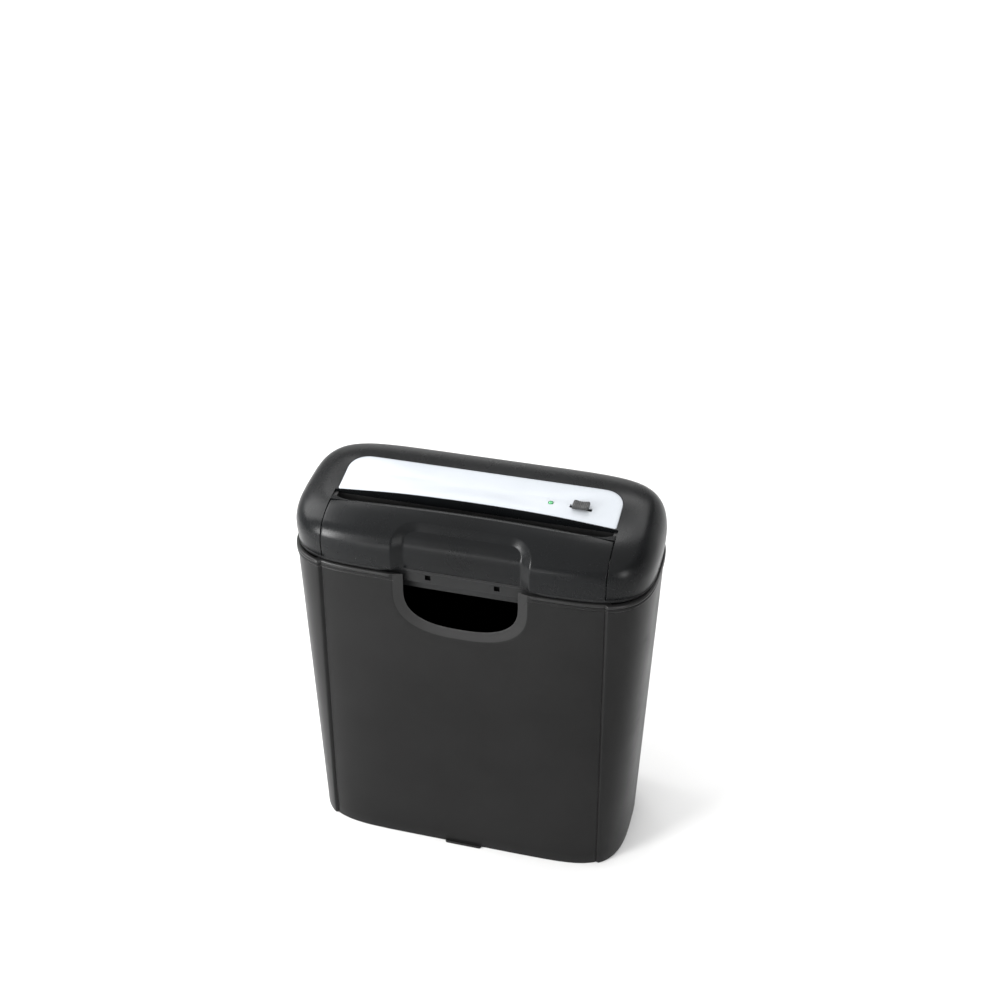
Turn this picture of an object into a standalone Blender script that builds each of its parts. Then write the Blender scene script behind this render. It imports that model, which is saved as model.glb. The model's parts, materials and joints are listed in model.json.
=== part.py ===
"""Strip-cut paper shredder: a lift-off cutting head seated on a waste bin.

Front is -Y, up is +Z and the bin stands on z = 0 around the origin.  Lengths below are in
millimetres and are turned into metres where meshes are made.
"""
import math

import bmesh
import bpy
from mathutils import Matrix, Vector

MM = 0.001
SHARP_DEGREES = 35.0

# Bin
BIN_HEIGHT = 277.0
RIM_HALF_WIDTH = 147.2
RIM_HALF_DEPTH = 63.7
BASE_HALF_WIDTH = 136.2
BASE_HALF_DEPTH = 65.5
PLAN_POWER_X = 7.0
PLAN_POWER_Y = 3.05
BIN_WALL = 2.6
BIN_FLOOR = 3.0
PANEL_RECESS = 2.5
SEAM_TOP = 114.2
SEAM_BOTTOM = 116.2
LIP_OUT = 0.8
LIP_HEIGHT = 6.0
NOTCH_HALF_WIDTH = 46.5
NOTCH_DEPTH = 45.5
NOTCH_CURVE_HEIGHT = 30.0
NOTCH_POWER = 2.6
NOTCH_BAND = 9.0
NOTCH_BAND_DEPTH = 2.2
TAB_X = 20.0
TAB_Y = 44.0
TAB_HALF_WIDTH = 6.0
TAB_TOP = 254.0

# Head: heights are measured from the seat on the rim
SEAT = BIN_HEIGHT + 0.35
HEAD_HALF_WIDTH = 147.6
HEAD_FRONT = 63.2
HEAD_REAR = 63.2
HEAD_WALL = 3.0
FRONT_WALL = 2.4
SEAM_X = 115.0
SEAM_GAP = 0.4
FLANGE_TOP = 2.2
# Each ring of the head's skin: inset at the ends, front inset, front height, rear inset,
# rear height, and how far its normal leans outwards (1) or up (0).
HEAD_RINGS = (
    (1.2, 1.1, 2.6, 1.1, 2.6, 1.0),
    (0.3, 0.2, 11.0, 0.2, 12.0, 1.0),
    (0.0, 0.3, 20.0, 0.0, 22.0, 0.98),
    (1.5, 3.0, 27.0, 2.0, 33.0, 0.88),
    (5.0, 8.0, 32.5, 6.0, 41.0, 0.7),
    (10.0, 15.0, 36.5, 12.0, 46.0, 0.45),
    (17.0, 22.0, 39.0, 20.0, 48.6, 0.25),
    (26.0, 29.0, 40.2, 29.0, 50.0, 0.1),
    (45.0, 38.0, 41.5, 40.0, 50.3, 0.0),
    (80.0, 50.0, 44.0, 54.0, 49.6, 0.0),
)
CREST_RING = 7
CREST_CROWN = 4.0
GRIP_INNER = 46.0
GRIP_OUTER = 55.0
GRIP_DEPTH = 5.5
GRIP_RING = 4
SLOT_FRONT = -31.0
SLOT_REAR = -19.0
SLOT_HALF_LENGTH = 112.0
LIP_DEPTH = 7.0

# Light-coloured inlay behind the slot
INLAY_REAR = 22.0
INLAY_THICKNESS = 1.5
INLAY_POCKET = 1.8
INLAY_CORNER = 16.0
INLAY_HALF_WIDTH = 113.0
INLAY_GAP = 0.4

# Tub under the head
TUB_HALF_WIDTH = 143.0
TUB_HALF_DEPTH = 60.4
TUB_DEPTH = 20.0
TUB_WALL = 2.4
FLANGE_HALF_WIDTH = 146.4
FLANGE_HALF_DEPTH = 61.9
TUB_SETBACK = 5.0
SETBACK_HALF_WIDTH = 50.0
SETBACK_OUTER = 67.0
TUB_RINGS = (
    (-TUB_DEPTH, 16.0, 7.0),
    (-18.6, 9.0, 3.4),
    (-15.0, 4.0, 1.2),
    (-9.0, 1.0, 0.2),
    (-3.0, 0.0, 0.0),
)
ARCH_HALF_WIDTH = 49.0
ARCH_FOOT_HALF_WIDTH = 68.0
ARCH_HEIGHT = 9.5
ARCH_REACH = 11.0
PLAN_FRONT_SPANS = 8
PLAN_SPLIT = 90.0
EXIT_HALF_LENGTH = 110.5
EXIT_FRONT = -42.0
EXIT_REAR = -8.0

# Mode switch and status light on the inlay
SWITCH_X = 82.0
SWITCH_Y = -4.0
SWITCH_TRAVEL = 5.0
LIGHT_X = 58.0

# Feed throat and paper lever, pivot as (y, z)
LEVER_PIVOT = (-8.0, 30.0)
LEVER_HALF_WIDTH = 2.0
THROAT_BOTTOM = 22.6

# Circuit board in the left of the tub, corners as (x, y)
BOARD_Z = -5.0
BOARD_LOW = (-102.0, 14.0)
BOARD_HIGH = (-34.0, 48.0)
BOARD_POSTS = (
    (BOARD_LOW[0] + 6.0, BOARD_LOW[1] + 5.0),
    (BOARD_HIGH[0] - 5.0, BOARD_LOW[1] + 5.0),
    (BOARD_HIGH[0] - 5.0, BOARD_HIGH[1] - 5.0),
    (BOARD_LOW[0] + 6.0, BOARD_HIGH[1] - 5.0),
)

# Cutting mechanism
PAPER_Y = -25.0
CUTTER_Z = 8.0
CUTTER_SPACING = 23.4
DISC_RADIUS = 13.0
DISC_THICKNESS = 5.9
DISC_PITCH = 12.4
CORE_RADIUS = 6.5
SHAFT_RADIUS = 4.0
SHAFT_END = 122.2
CORE_END = 111.2
PLATE_IN = 112.0
PLATE_OUT = 114.6
BUSHING_RADIUS = 6.0
FIT = 0.3
FRONT_AXIS = (PAPER_Y - CUTTER_SPACING / 2, CUTTER_Z)
REAR_AXIS = (PAPER_Y + CUTTER_SPACING / 2, CUTTER_Z)
COMB_FINGER = 3.0
TIE_RODS = ((-43.5, 24.0), (2.5, -8.5), (6.2, 26.0))
TIE_RADIUS = 2.5

# Gear train at the right end, as centres in (y, z)
SYNC_TEETH = 18
SYNC_END = 120.2
SYNC_MODULE = CUTTER_SPACING / SYNC_TEETH
IDLER_2 = (REAR_AXIS[0] + 24.0, CUTTER_Z)
MOTOR_AXIS = (36.0, 14.0)
IDLER_1_OUT = 15.0
IDLER_LINK = 20.0
AXLE_RADIUS = 2.0
LAYER_A = (116.6, 121.6)
LAYER_B = (122.8, 126.8)
LAYER_C = (127.6, 130.6)
MOTOR_SHAFT_RADIUS = 1.5
MOTOR_RADIUS = 17.0
MOTOR_FROM = 48.0
MOTOR_TO = 110.0
MOTOR_WALL = 1.6

# Screws through the tub into the rear cover, as (x, y)
SCREWS = ((-131.0, 22.0), (-131.0, -22.0), (124.0, -38.0), (124.0, 43.0))
POST_RADIUS = 3.5
PILOT_RADIUS = 1.7
SCREW_RADIUS = 1.4
SCREW_HEAD_RADIUS = 3.0

# Cord gland in the rear wall, and the guide post that the lead bends round behind it
GLAND_BORE = 4.6
GLAND_NECK = 6.1
GLAND_FLANGE = 7.8
GLAND_X = -60.0
GLAND_Z = 11.0
GUIDE_HALF_WIDTH = 3.0
GUIDE_Y = (48.6, 51.4)
GUIDE_BOTTOM = 7.0


# ---------------------------------------------------------------- scene and materials
for old in list(bpy.data.objects):
    bpy.data.objects.remove(old, do_unlink=True)


def make_material(name, colour, metallic=0.0, roughness=0.45):
    """A Principled material of one colour."""
    material = bpy.data.materials.new(name)
    material.use_nodes = True
    shader = material.node_tree.nodes["Principled BSDF"]
    shader.inputs["Base Color"].default_value = (*colour, 1.0)
    shader.inputs["Metallic"].default_value = metallic
    shader.inputs["Roughness"].default_value = roughness
    return material


PLASTIC = (0.030, 0.030, 0.032)
PLASTIC_SOFT = (0.045, 0.045, 0.048)
LIGHT_PLASTIC = (0.80, 0.81, 0.83)
STEEL = (0.60, 0.60, 0.60)
NYLON = (0.78, 0.76, 0.70)
BRASS = (0.72, 0.52, 0.22)
GREEN = (0.02, 0.16, 0.06)


def add_object(name, vertices, faces, look=None):
    """A mesh object from points in millimetres.  look is (colour, metallic, roughness)."""
    mesh = bpy.data.meshes.new(name)
    mesh.from_pydata([tuple(c * MM for c in v) for v in vertices], [], faces)
    shape = bmesh.new()
    shape.from_mesh(mesh)
    bmesh.ops.recalc_face_normals(shape, faces=shape.faces)
    if shape.calc_volume(signed=True) < 0:
        bmesh.ops.reverse_faces(shape, faces=shape.faces)
    shape.to_mesh(mesh)
    shape.free()
    item = bpy.data.objects.new(name, mesh)
    bpy.context.scene.collection.objects.link(item)
    if look:
        mesh.materials.append(make_material(name, *look))
    return item


def set_origin(item, point):
    """Puts an object's origin at a point in millimetres and leaves its shape in place."""
    shift = Vector([c * MM for c in point])
    item.data.transform(Matrix.Translation(-shift))
    item.location = shift


def boolean(target, tool, operation):
    """Joins or cuts target by a hidden tool."""
    tool.hide_render = True
    tool.display_type = "WIRE"
    step = target.modifiers.new(tool.name, "BOOLEAN")
    step.object = tool
    step.operation = operation
    step.solver = "EXACT"
    return target


def cut(target, *tools):
    for tool in tools:
        boolean(target, tool, "DIFFERENCE")
    return target


def join(target, *tools):
    for tool in tools:
        boolean(target, tool, "UNION")
    return target


def keep_inside(target, tool):
    return boolean(target, tool, "INTERSECT")


# ---------------------------------------------------------------- shape builders
def loft(name, rings, look=None):
    """A closed body through rings of equal length, capped at both ends."""
    count = len(rings[0])
    vertices = [point for ring in rings for point in ring]
    faces = []
    for row in range(len(rings) - 1):
        for column in range(count):
            after = (column + 1) % count
            low = row * count
            high = low + count
            faces.append((low + column, low + after, high + after, high + column))
    first = sum_point(rings[0])
    last = sum_point(rings[-1])
    vertices += [first, last]
    start = len(vertices) - 2
    top = (len(rings) - 1) * count
    for column in range(count):
        after = (column + 1) % count
        faces.append((column, start, after))
        faces.append((top + column, top + after, start + 1))
    return add_object(name, vertices, faces, look)


def sum_point(ring):
    return tuple(sum(point[axis] for point in ring) / len(ring) for axis in range(3))


def flat_loft(name, rings, look=None):
    """A closed body through rings whose two end rings are flat and are capped by one face each."""
    count = len(rings[0])
    vertices = [point for ring in rings for point in ring]
    faces = [tuple(reversed(range(count)))]
    for row in range(len(rings) - 1):
        for column in range(count):
            after = (column + 1) % count
            low = row * count
            high = low + count
            faces.append((low + column, low + after, high + after, high + column))
    top = (len(rings) - 1) * count
    faces.append(tuple(range(top, top + count)))
    return add_object(name, vertices, faces, look)


def box(name, low, high, look=None):
    """An axis-aligned block between two corners."""
    ring = ((low[0], low[1]), (high[0], low[1]), (high[0], high[1]), (low[0], high[1]))
    rings = [[(x, y, z) for x, y in ring] for z in (low[2], high[2])]
    return flat_loft(name, rings, look)


def plate_x(name, outline, x_low, x_high, look=None):
    """A (y, z) outline pushed along X."""
    rings = [[(x, y, z) for y, z in outline] for x in (x_low, x_high)]
    return flat_loft(name, rings, look)


def plate_y(name, outline, y_low, y_high, look=None):
    """An (x, z) outline pushed along Y."""
    rings = [[(x, y, z) for x, z in outline] for y in (y_low, y_high)]
    return flat_loft(name, rings, look)


def plate_z(name, outline, z_low, z_high, look=None):
    """An (x, y) outline pushed along Z."""
    rings = [[(x, y, z) for x, y in outline] for z in (z_low, z_high)]
    return flat_loft(name, rings, look)


def circle(centre, radius, count):
    turn = 2 * math.pi / count
    return [
        (
            centre[0] + radius * math.cos(turn * (step + 0.5)),
            centre[1] + radius * math.sin(turn * (step + 0.5)),
        )
        for step in range(count)
    ]


def turned_x(name, centre, profile, count, look=None):
    """A solid turned about an axis along X; profile is (x, radius) from one end to the other."""
    rings = []
    for x, radius in profile:
        rings.append([(x, y, z) for y, z in circle(centre, radius, count)])
    return flat_loft(name, rings, look)


def turned_z(name, centre, profile, count, look=None):
    """A solid turned about a vertical axis; profile is (z, radius) from one end to the other."""
    rings = []
    for z, radius in profile:
        rings.append([(x, y, z) for x, y in circle(centre, radius, count)])
    return flat_loft(name, rings, look)


def ring_x(name, centre, bore, profile, count, look=None):
    """A turned piece with a straight bore, made as one closed band; profile is (x, radius)."""
    loop = list(profile) + [(profile[-1][0], bore), (profile[0][0], bore)]
    vertices = []
    for x, radius in loop:
        vertices += [(x, y, z) for y, z in circle(centre, radius, count)]
    return add_object(name, vertices, band_faces(len(loop), count), look)


def band_faces(rows, count):
    """Quads of a closed band: every row meets the next, and the last meets the first."""
    faces = []
    for row in range(rows):
        low = row * count
        high = ((row + 1) % rows) * count
        for column in range(count):
            after = (column + 1) % count
            faces.append((low + column, low + after, high + after, high + column))
    return faces


def swept_tube(name, path, radius, count, look=None):
    """A round lead along a path of points, with flat ends."""
    rings = []
    for index, point in enumerate(path):
        before = path[max(index - 1, 0)]
        after = path[min(index + 1, len(path) - 1)]
        along = [b - a for a, b in zip(before, after)]
        length = math.sqrt(sum(c * c for c in along))
        along = [c / length for c in along]
        side = unit((-along[1], along[0], 0.0) if abs(along[2]) < 0.9 else (1.0, 0.0, 0.0))
        over = cross(along, side)
        side = cross(over, along)
        ring = []
        for step in range(count):
            angle = 2 * math.pi * step / count
            ring.append(
                tuple(
                    point[axis]
                    + radius * (math.cos(angle) * side[axis] + math.sin(angle) * over[axis])
                    for axis in range(3)
                )
            )
        rings.append(ring)
    return flat_loft(name, rings, look)


def unit(vector):
    length = math.sqrt(sum(c * c for c in vector))
    return tuple(c / length for c in vector)


def cross(a, b):
    return (
        a[1] * b[2] - a[2] * b[1],
        a[2] * b[0] - a[0] * b[2],
        a[0] * b[1] - a[1] * b[0],
    )


def rounded_rectangle(x_low, x_high, y_low, y_high, radii, steps=4):
    """Counter-clockwise outline; radii are for the corners (low, low), (high, low), (high,
    high) and (low, high)."""
    corners = ((x_low, y_low), (x_high, y_low), (x_high, y_high), (x_low, y_high))
    inward = ((1, 1), (-1, 1), (-1, -1), (1, -1))
    points = []
    for index, ((x, y), (sx, sy), radius) in enumerate(zip(corners, inward, radii)):
        if radius <= 0:
            points.append((x, y))
            continue
        for step in range(steps + 1):
            angle = math.pi + index * math.pi / 2 + step * math.pi / (2 * steps)
            points.append(
                (
                    x + sx * radius + radius * math.cos(angle),
                    y + sy * radius + radius * math.sin(angle),
                )
            )
    return points


# ---------------------------------------------------------------- plan outlines
def bow(x, half_width, half_depth):
    """Half depth of the plan outline at x."""
    share = min(abs(x) / half_width, 1.0)
    return half_depth * (1.0 - share**PLAN_POWER_X) ** (1.0 / PLAN_POWER_Y)


def end_points(half_width, front, rear, from_x, steps):
    """Right-hand end of the plan outline, from the front at from_x round to the back."""
    edge = math.acos((from_x / half_width) ** (PLAN_POWER_X / 2))
    points = []
    for step in range(steps + 1):
        angle = -edge + 2 * edge * step / steps
        x = half_width * math.cos(angle) ** (2 / PLAN_POWER_X)
        reach = abs(math.sin(angle)) ** (2 / PLAN_POWER_Y)
        points.append((x, -front * reach if angle < 0 else rear * reach))
    return points


def plan_outline(half_width, front, rear, split, steps=10, spans=PLAN_FRONT_SPANS):
    """Counter-clockwise plan outline as (x, y), starting at the front left split."""
    right = end_points(half_width, front, rear, split, steps)
    points = []
    for step in range(spans):
        x = -split + 2 * split * step / spans
        points.append((x, -bow(x, half_width, front)))
    points += right
    for step in range(1, spans):
        x = split - 2 * split * step / spans
        points.append((x, bow(x, half_width, rear)))
    points += [(-x, y) for x, y in reversed(right[1:])]
    return points


# ---------------------------------------------------------------- bin
def bin_ring(z, grow, seam_shift=0.0):
    """The bin's outline at height z: the front panel between the seams is set back."""
    share = z / BIN_HEIGHT
    half_width = BASE_HALF_WIDTH + (RIM_HALF_WIDTH - BASE_HALF_WIDTH) * share + grow
    half_depth = BASE_HALF_DEPTH + (RIM_HALF_DEPTH - BASE_HALF_DEPTH) * share + grow
    seam = SEAM_BOTTOM + (SEAM_TOP - SEAM_BOTTOM) * share + seam_shift
    spans = 10
    points = []
    for step in range(spans + 1):
        x = -seam + 2 * seam * step / spans
        points.append((x, -bow(x, half_width, half_depth), z))
    right = end_points(half_width, half_depth + PANEL_RECESS, half_depth, seam + 0.6, 12)
    points += [(x, y, z) for x, y in right]
    for step in range(1, spans):
        x = seam - 2 * seam * step / spans
        points.append((x, bow(x, half_width, half_depth), z))
    points += [(-x, y, z) for x, y in reversed(right)]
    return points


def notch_outline(grow, steps=24):
    """U-shaped notch in the front rim, as (x, z), with a bowed bottom and open above the rim."""
    half = NOTCH_HALF_WIDTH + grow
    height = NOTCH_CURVE_HEIGHT + grow
    middle = BIN_HEIGHT - NOTCH_DEPTH + NOTCH_CURVE_HEIGHT
    above = BIN_HEIGHT + 12.0
    points = [(half, above), (-half, above)]
    for step in range(steps + 1):
        angle = math.pi + math.pi * step / steps
        across = math.copysign(abs(math.cos(angle)) ** (2 / NOTCH_POWER), math.cos(angle))
        down = abs(math.sin(angle)) ** (2 / NOTCH_POWER)
        points.append((half * across, middle - height * down))
    return points


def build_bin():
    rings = [
        bin_ring(0.0, -1.0),
        bin_ring(1.0, 0.0),
        bin_ring(BIN_HEIGHT - LIP_HEIGHT, 0.0),
        bin_ring(BIN_HEIGHT - LIP_HEIGHT + 0.5, LIP_OUT),
        bin_ring(BIN_HEIGHT - 0.6, LIP_OUT),
        bin_ring(BIN_HEIGHT, LIP_OUT - 0.5),
        bin_ring(BIN_HEIGHT, -BIN_WALL, BIN_WALL),
        bin_ring(BIN_FLOOR + 4.0, -BIN_WALL, BIN_WALL),
        bin_ring(BIN_FLOOR, -BIN_WALL - 3.0, BIN_WALL),
    ]
    body = flat_loft("bin", rings, (PLASTIC_SOFT, 0.0, 0.42))
    tab = plate_x(
        "bin_tab",
        [(62.6, 190.0), (62.6, TAB_TOP), (TAB_Y - 5.0, TAB_TOP), (TAB_Y - 5.0, 244.0)],
        TAB_X - TAB_HALF_WIDTH,
        TAB_X + TAB_HALF_WIDTH,
    )
    join(body, tab)
    front = -RIM_HALF_DEPTH - 8.0
    panel = -RIM_HALF_DEPTH
    run = NOTCH_BAND / NOTCH_BAND_DEPTH
    before = 4.0
    band_rings = [
        [(x, panel - before, z) for x, z in notch_outline(NOTCH_BAND + run * before)],
        [(x, panel + NOTCH_BAND_DEPTH, z) for x, z in notch_outline(0.0)],
    ]
    band = flat_loft("bin_notch_band", band_rings)
    notch = plate_y("bin_notch", notch_outline(0.0), front, -RIM_HALF_DEPTH + 24.0)
    return cut(body, band, notch)


# ---------------------------------------------------------------- head skin
def smooth(share):
    share = min(max(share, 0.0), 1.0)
    return share * share * (3.0 - 2.0 * share)


def ring_height(ring, x, turn, drop):
    """Height of a skin ring at x; turn runs from -1 at the front to 1 at the back."""
    _, _, front_z, _, rear_z, lean = HEAD_RINGS[ring]
    height = front_z + (rear_z - front_z) * smooth((turn + 1.0) / 2.0)
    share = ring / CREST_RING
    crown = CREST_CROWN * min(share, 1.0) ** 3 * max(0.0, 1.0 - (x / SEAM_X) ** 2)
    blend = smooth(0.5 - turn)
    return height + crown * blend - drop * (1.0 - lean)


def ring_sizes(ring, inset):
    end, front, _, rear, _, lean = HEAD_RINGS[ring]
    return (
        HEAD_HALF_WIDTH - end - inset * lean,
        HEAD_FRONT - front - inset * lean,
        HEAD_REAR - rear - inset * lean,
    )


def skin_ring(ring, inset, extra_bottom=0.0):
    """One ring of the head's skin, moved inwards by inset along the skin's normal."""
    half_width, front, rear = ring_sizes(ring, inset)
    split = min(PLAN_SPLIT, half_width * 0.75)
    points = []
    for x, y in plan_outline(half_width, front, rear, split):
        turn = y / (front if y < 0 else rear)
        z = ring_height(ring, x, turn, inset)
        points.append((x, y, SEAT + z - (extra_bottom if ring == 0 else 0.0)))
    return points


def head_solid(name, inset, bottom=0.0, fall=0.0, look=None):
    """Everything under the head's skin, moved inwards by inset and lowered by fall."""
    rings = [skin_ring(ring, inset, bottom) for ring in range(len(HEAD_RINGS))]
    if fall:
        rings = [[(x, y, z - fall) for x, y, z in ring] for ring in rings]
    return loft(name, rings, look)


def slot_points(x, inset):
    """Front profile at x as (y, z) for every ring up to the crest."""
    points = []
    for ring in range(CREST_RING + 1):
        half_width, front, _ = ring_sizes(ring, inset)
        y = -bow(x, half_width, front)
        z = ring_height(ring, x, y / front, inset)
        points.append((y, z))
    return points


def grip_share(x, ring):
    """How deep the grip recess is at a point: 1 inside, 0 outside its band."""
    side = (GRIP_OUTER - abs(x)) / (GRIP_OUTER - GRIP_INNER)
    return min(max(side, 0.0), 1.0) if ring <= GRIP_RING else 0.0


def front_profile(x):
    """Closed (y, z) section of the front cover at x."""
    outer = slot_points(x, 0.0)
    inner = slot_points(x, FRONT_WALL)
    section = []
    for ring, (y, z) in enumerate(outer):
        lean = HEAD_RINGS[ring][5]
        depth = GRIP_DEPTH * grip_share(x, ring)
        section.append((y + depth * lean, z - depth * (1.0 - lean)))
    crest = outer[-1][1]
    section[-1] = (SLOT_FRONT - 1.2, crest)
    section.append((SLOT_FRONT, crest - 1.2))
    section.append((SLOT_FRONT, crest - LIP_DEPTH))
    section.append((SLOT_FRONT - 1.8, crest - LIP_DEPTH))
    section.append((SLOT_FRONT - 2.0, inner[-1][1] - 0.6))
    for ring in range(CREST_RING - 1, -1, -1):
        y, z = inner[ring]
        lean = HEAD_RINGS[ring][5]
        depth = GRIP_DEPTH * grip_share(x, ring)
        section.append((y + depth * lean, z - depth * (1.0 - lean)))
    return [(y, SEAT + z) for y, z in section]


def build_front_cover():
    half = SEAM_X - SEAM_GAP
    right = (14.0, 30.0, GRIP_INNER, GRIP_OUTER, 75.0, 95.0, half)
    columns = [-x for x in reversed(right)] + [0.0] + list(right)
    rings = [[(x, y, z) for y, z in front_profile(x)] for x in columns]
    return flat_loft("front_cover", rings, (PLASTIC, 0.0, 0.32))


def inlay_outline(grow):
    corner = INLAY_CORNER + grow
    return rounded_rectangle(
        -INLAY_HALF_WIDTH - grow,
        INLAY_HALF_WIDTH + grow,
        SLOT_REAR + 0.8 - grow,
        INLAY_REAR + grow,
        (2.0, 2.0, corner, corner),
        4,
    )


def build_rear_cover():
    cover = head_solid("rear_cover", 0.0, look=(PLASTIC, 0.0, 0.32))
    cavity = head_solid("rear_cover_cavity", HEAD_WALL, bottom=8.0)
    floor = SEAT + HEAD_RINGS[0][2]
    for index, (x, y) in enumerate(SCREWS):
        post = turned_z(
            f"rear_cover_post_{index}",
            (x, y),
            ((floor - 12.0, POST_RADIUS), (SEAT + 60.0, POST_RADIUS)),
            10,
        )
        cut(cavity, post)
    guide = box(
        "rear_cover_cord_guide",
        (GLAND_X - GUIDE_HALF_WIDTH, GUIDE_Y[0], SEAT + GUIDE_BOTTOM),
        (GLAND_X + GUIDE_HALF_WIDTH, GUIDE_Y[1], SEAT + 60.0),
    )
    cut(cavity, guide)
    cut(cover, cavity)
    front = box(
        "rear_cover_front_cut",
        (-SEAM_X, -90.0, SEAT - 20.0),
        (SEAM_X, SLOT_REAR, SEAT + 90.0),
    )
    pocket = plate_z("rear_cover_pocket", inlay_outline(INLAY_GAP), SEAT, SEAT + 80.0)
    cut(pocket, head_solid("rear_cover_pocket_floor", 0.0, bottom=20.0, fall=INLAY_POCKET))
    cut(cover, front, pocket)
    for index, (x, y) in enumerate(SCREWS):
        pilot = turned_z(
            f"rear_cover_pilot_{index}",
            (x, y),
            ((floor - 5.0, PILOT_RADIUS), (SEAT + 15.0, PILOT_RADIUS)),
            12,
        )
        cut(cover, pilot)
    gland = turned_y_hole(
        "rear_cover_gland_hole", (GLAND_X, SEAT + GLAND_Z), GLAND_NECK + FIT, 50.0, 80.0
    )
    window = switch_slot("rear_cover_switch_slot", 3.0)
    light = status_hole("rear_cover_light_hole", 2.6)
    return cut(cover, gland, window, light)


def turned_y_hole(name, centre, radius, y_low, y_high):
    """A round cutter along Y about (x, z)."""
    return plate_y(name, circle(centre, radius, 16), y_low, y_high)




def switch_slot(name, half_depth):
    """Opening for the stem of the mode switch, with room for its travel."""
    return box(
        name,
        (SWITCH_X - SWITCH_TRAVEL - 4.0, SWITCH_Y - half_depth, SEAT + 25.0),
        (SWITCH_X + SWITCH_TRAVEL + 4.0, SWITCH_Y + half_depth, SEAT + 70.0),
    )


def status_hole(name, radius):
    return turned_z(
        name, (LIGHT_X, SWITCH_Y), ((SEAT + 25.0, radius), (SEAT + 70.0, radius)), 12
    )


def build_inlay():
    panel = plate_z(
        "top_panel", inlay_outline(0.0), SEAT + 20.0, SEAT + 80.0, (LIGHT_PLASTIC, 0.0, 0.35)
    )
    keep_inside(panel, head_solid("top_panel_skin", 0.0))
    lowered = head_solid("top_panel_underside", 0.0, bottom=20.0, fall=INLAY_THICKNESS)
    slot = switch_slot("top_panel_switch_slot", 2.0)
    light = status_hole("top_panel_light_hole", 2.3)
    return cut(panel, lowered, slot, light)


# ---------------------------------------------------------------- tub
def tub_ring(z, end, side, inset, reach=None):
    half_width = TUB_HALF_WIDTH - end - inset
    half_depth = TUB_HALF_DEPTH - side - inset
    if reach:
        half_width, half_depth = reach
    split = PLAN_SPLIT
    outline = plan_outline(half_width, half_depth, half_depth, split)[PLAN_FRONT_SPANS:]
    steps = (-split, -SETBACK_OUTER, -61.0, -56.0, -SETBACK_HALF_WIDTH)
    front = list(steps) + [0.0] + [-x for x in reversed(steps)]
    ring = [(x, -bow(x, half_width, half_depth) + setback(x)) for x in front[:-1]]
    return [(x, y, SEAT + z) for x, y in ring + outline]




def setback(x):
    """The middle of the tub's front stands back, so that fingers reach under the grip."""
    share = (SETBACK_OUTER - abs(x)) / (SETBACK_OUTER - SETBACK_HALF_WIDTH)
    return TUB_SETBACK * smooth(share)


def arch_outline(grow):
    """Raised middle of the tub's front, as (x, z), open below."""
    top = -TUB_DEPTH + ARCH_HEIGHT + grow
    low = -TUB_DEPTH - 10.0
    side = []
    steps = 5
    for step in range(steps + 1):
        share = step / steps
        x = ARCH_FOOT_HALF_WIDTH + (ARCH_HALF_WIDTH - ARCH_FOOT_HALF_WIDTH) * share
        z = -TUB_DEPTH - 0.5 + (top + TUB_DEPTH + 0.5) * smooth(share)
        side.append((x + grow, SEAT + z))
    right = [(ARCH_FOOT_HALF_WIDTH + grow, SEAT + low)] + side
    return right + [(-x, z) for x, z in reversed(right)]


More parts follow.
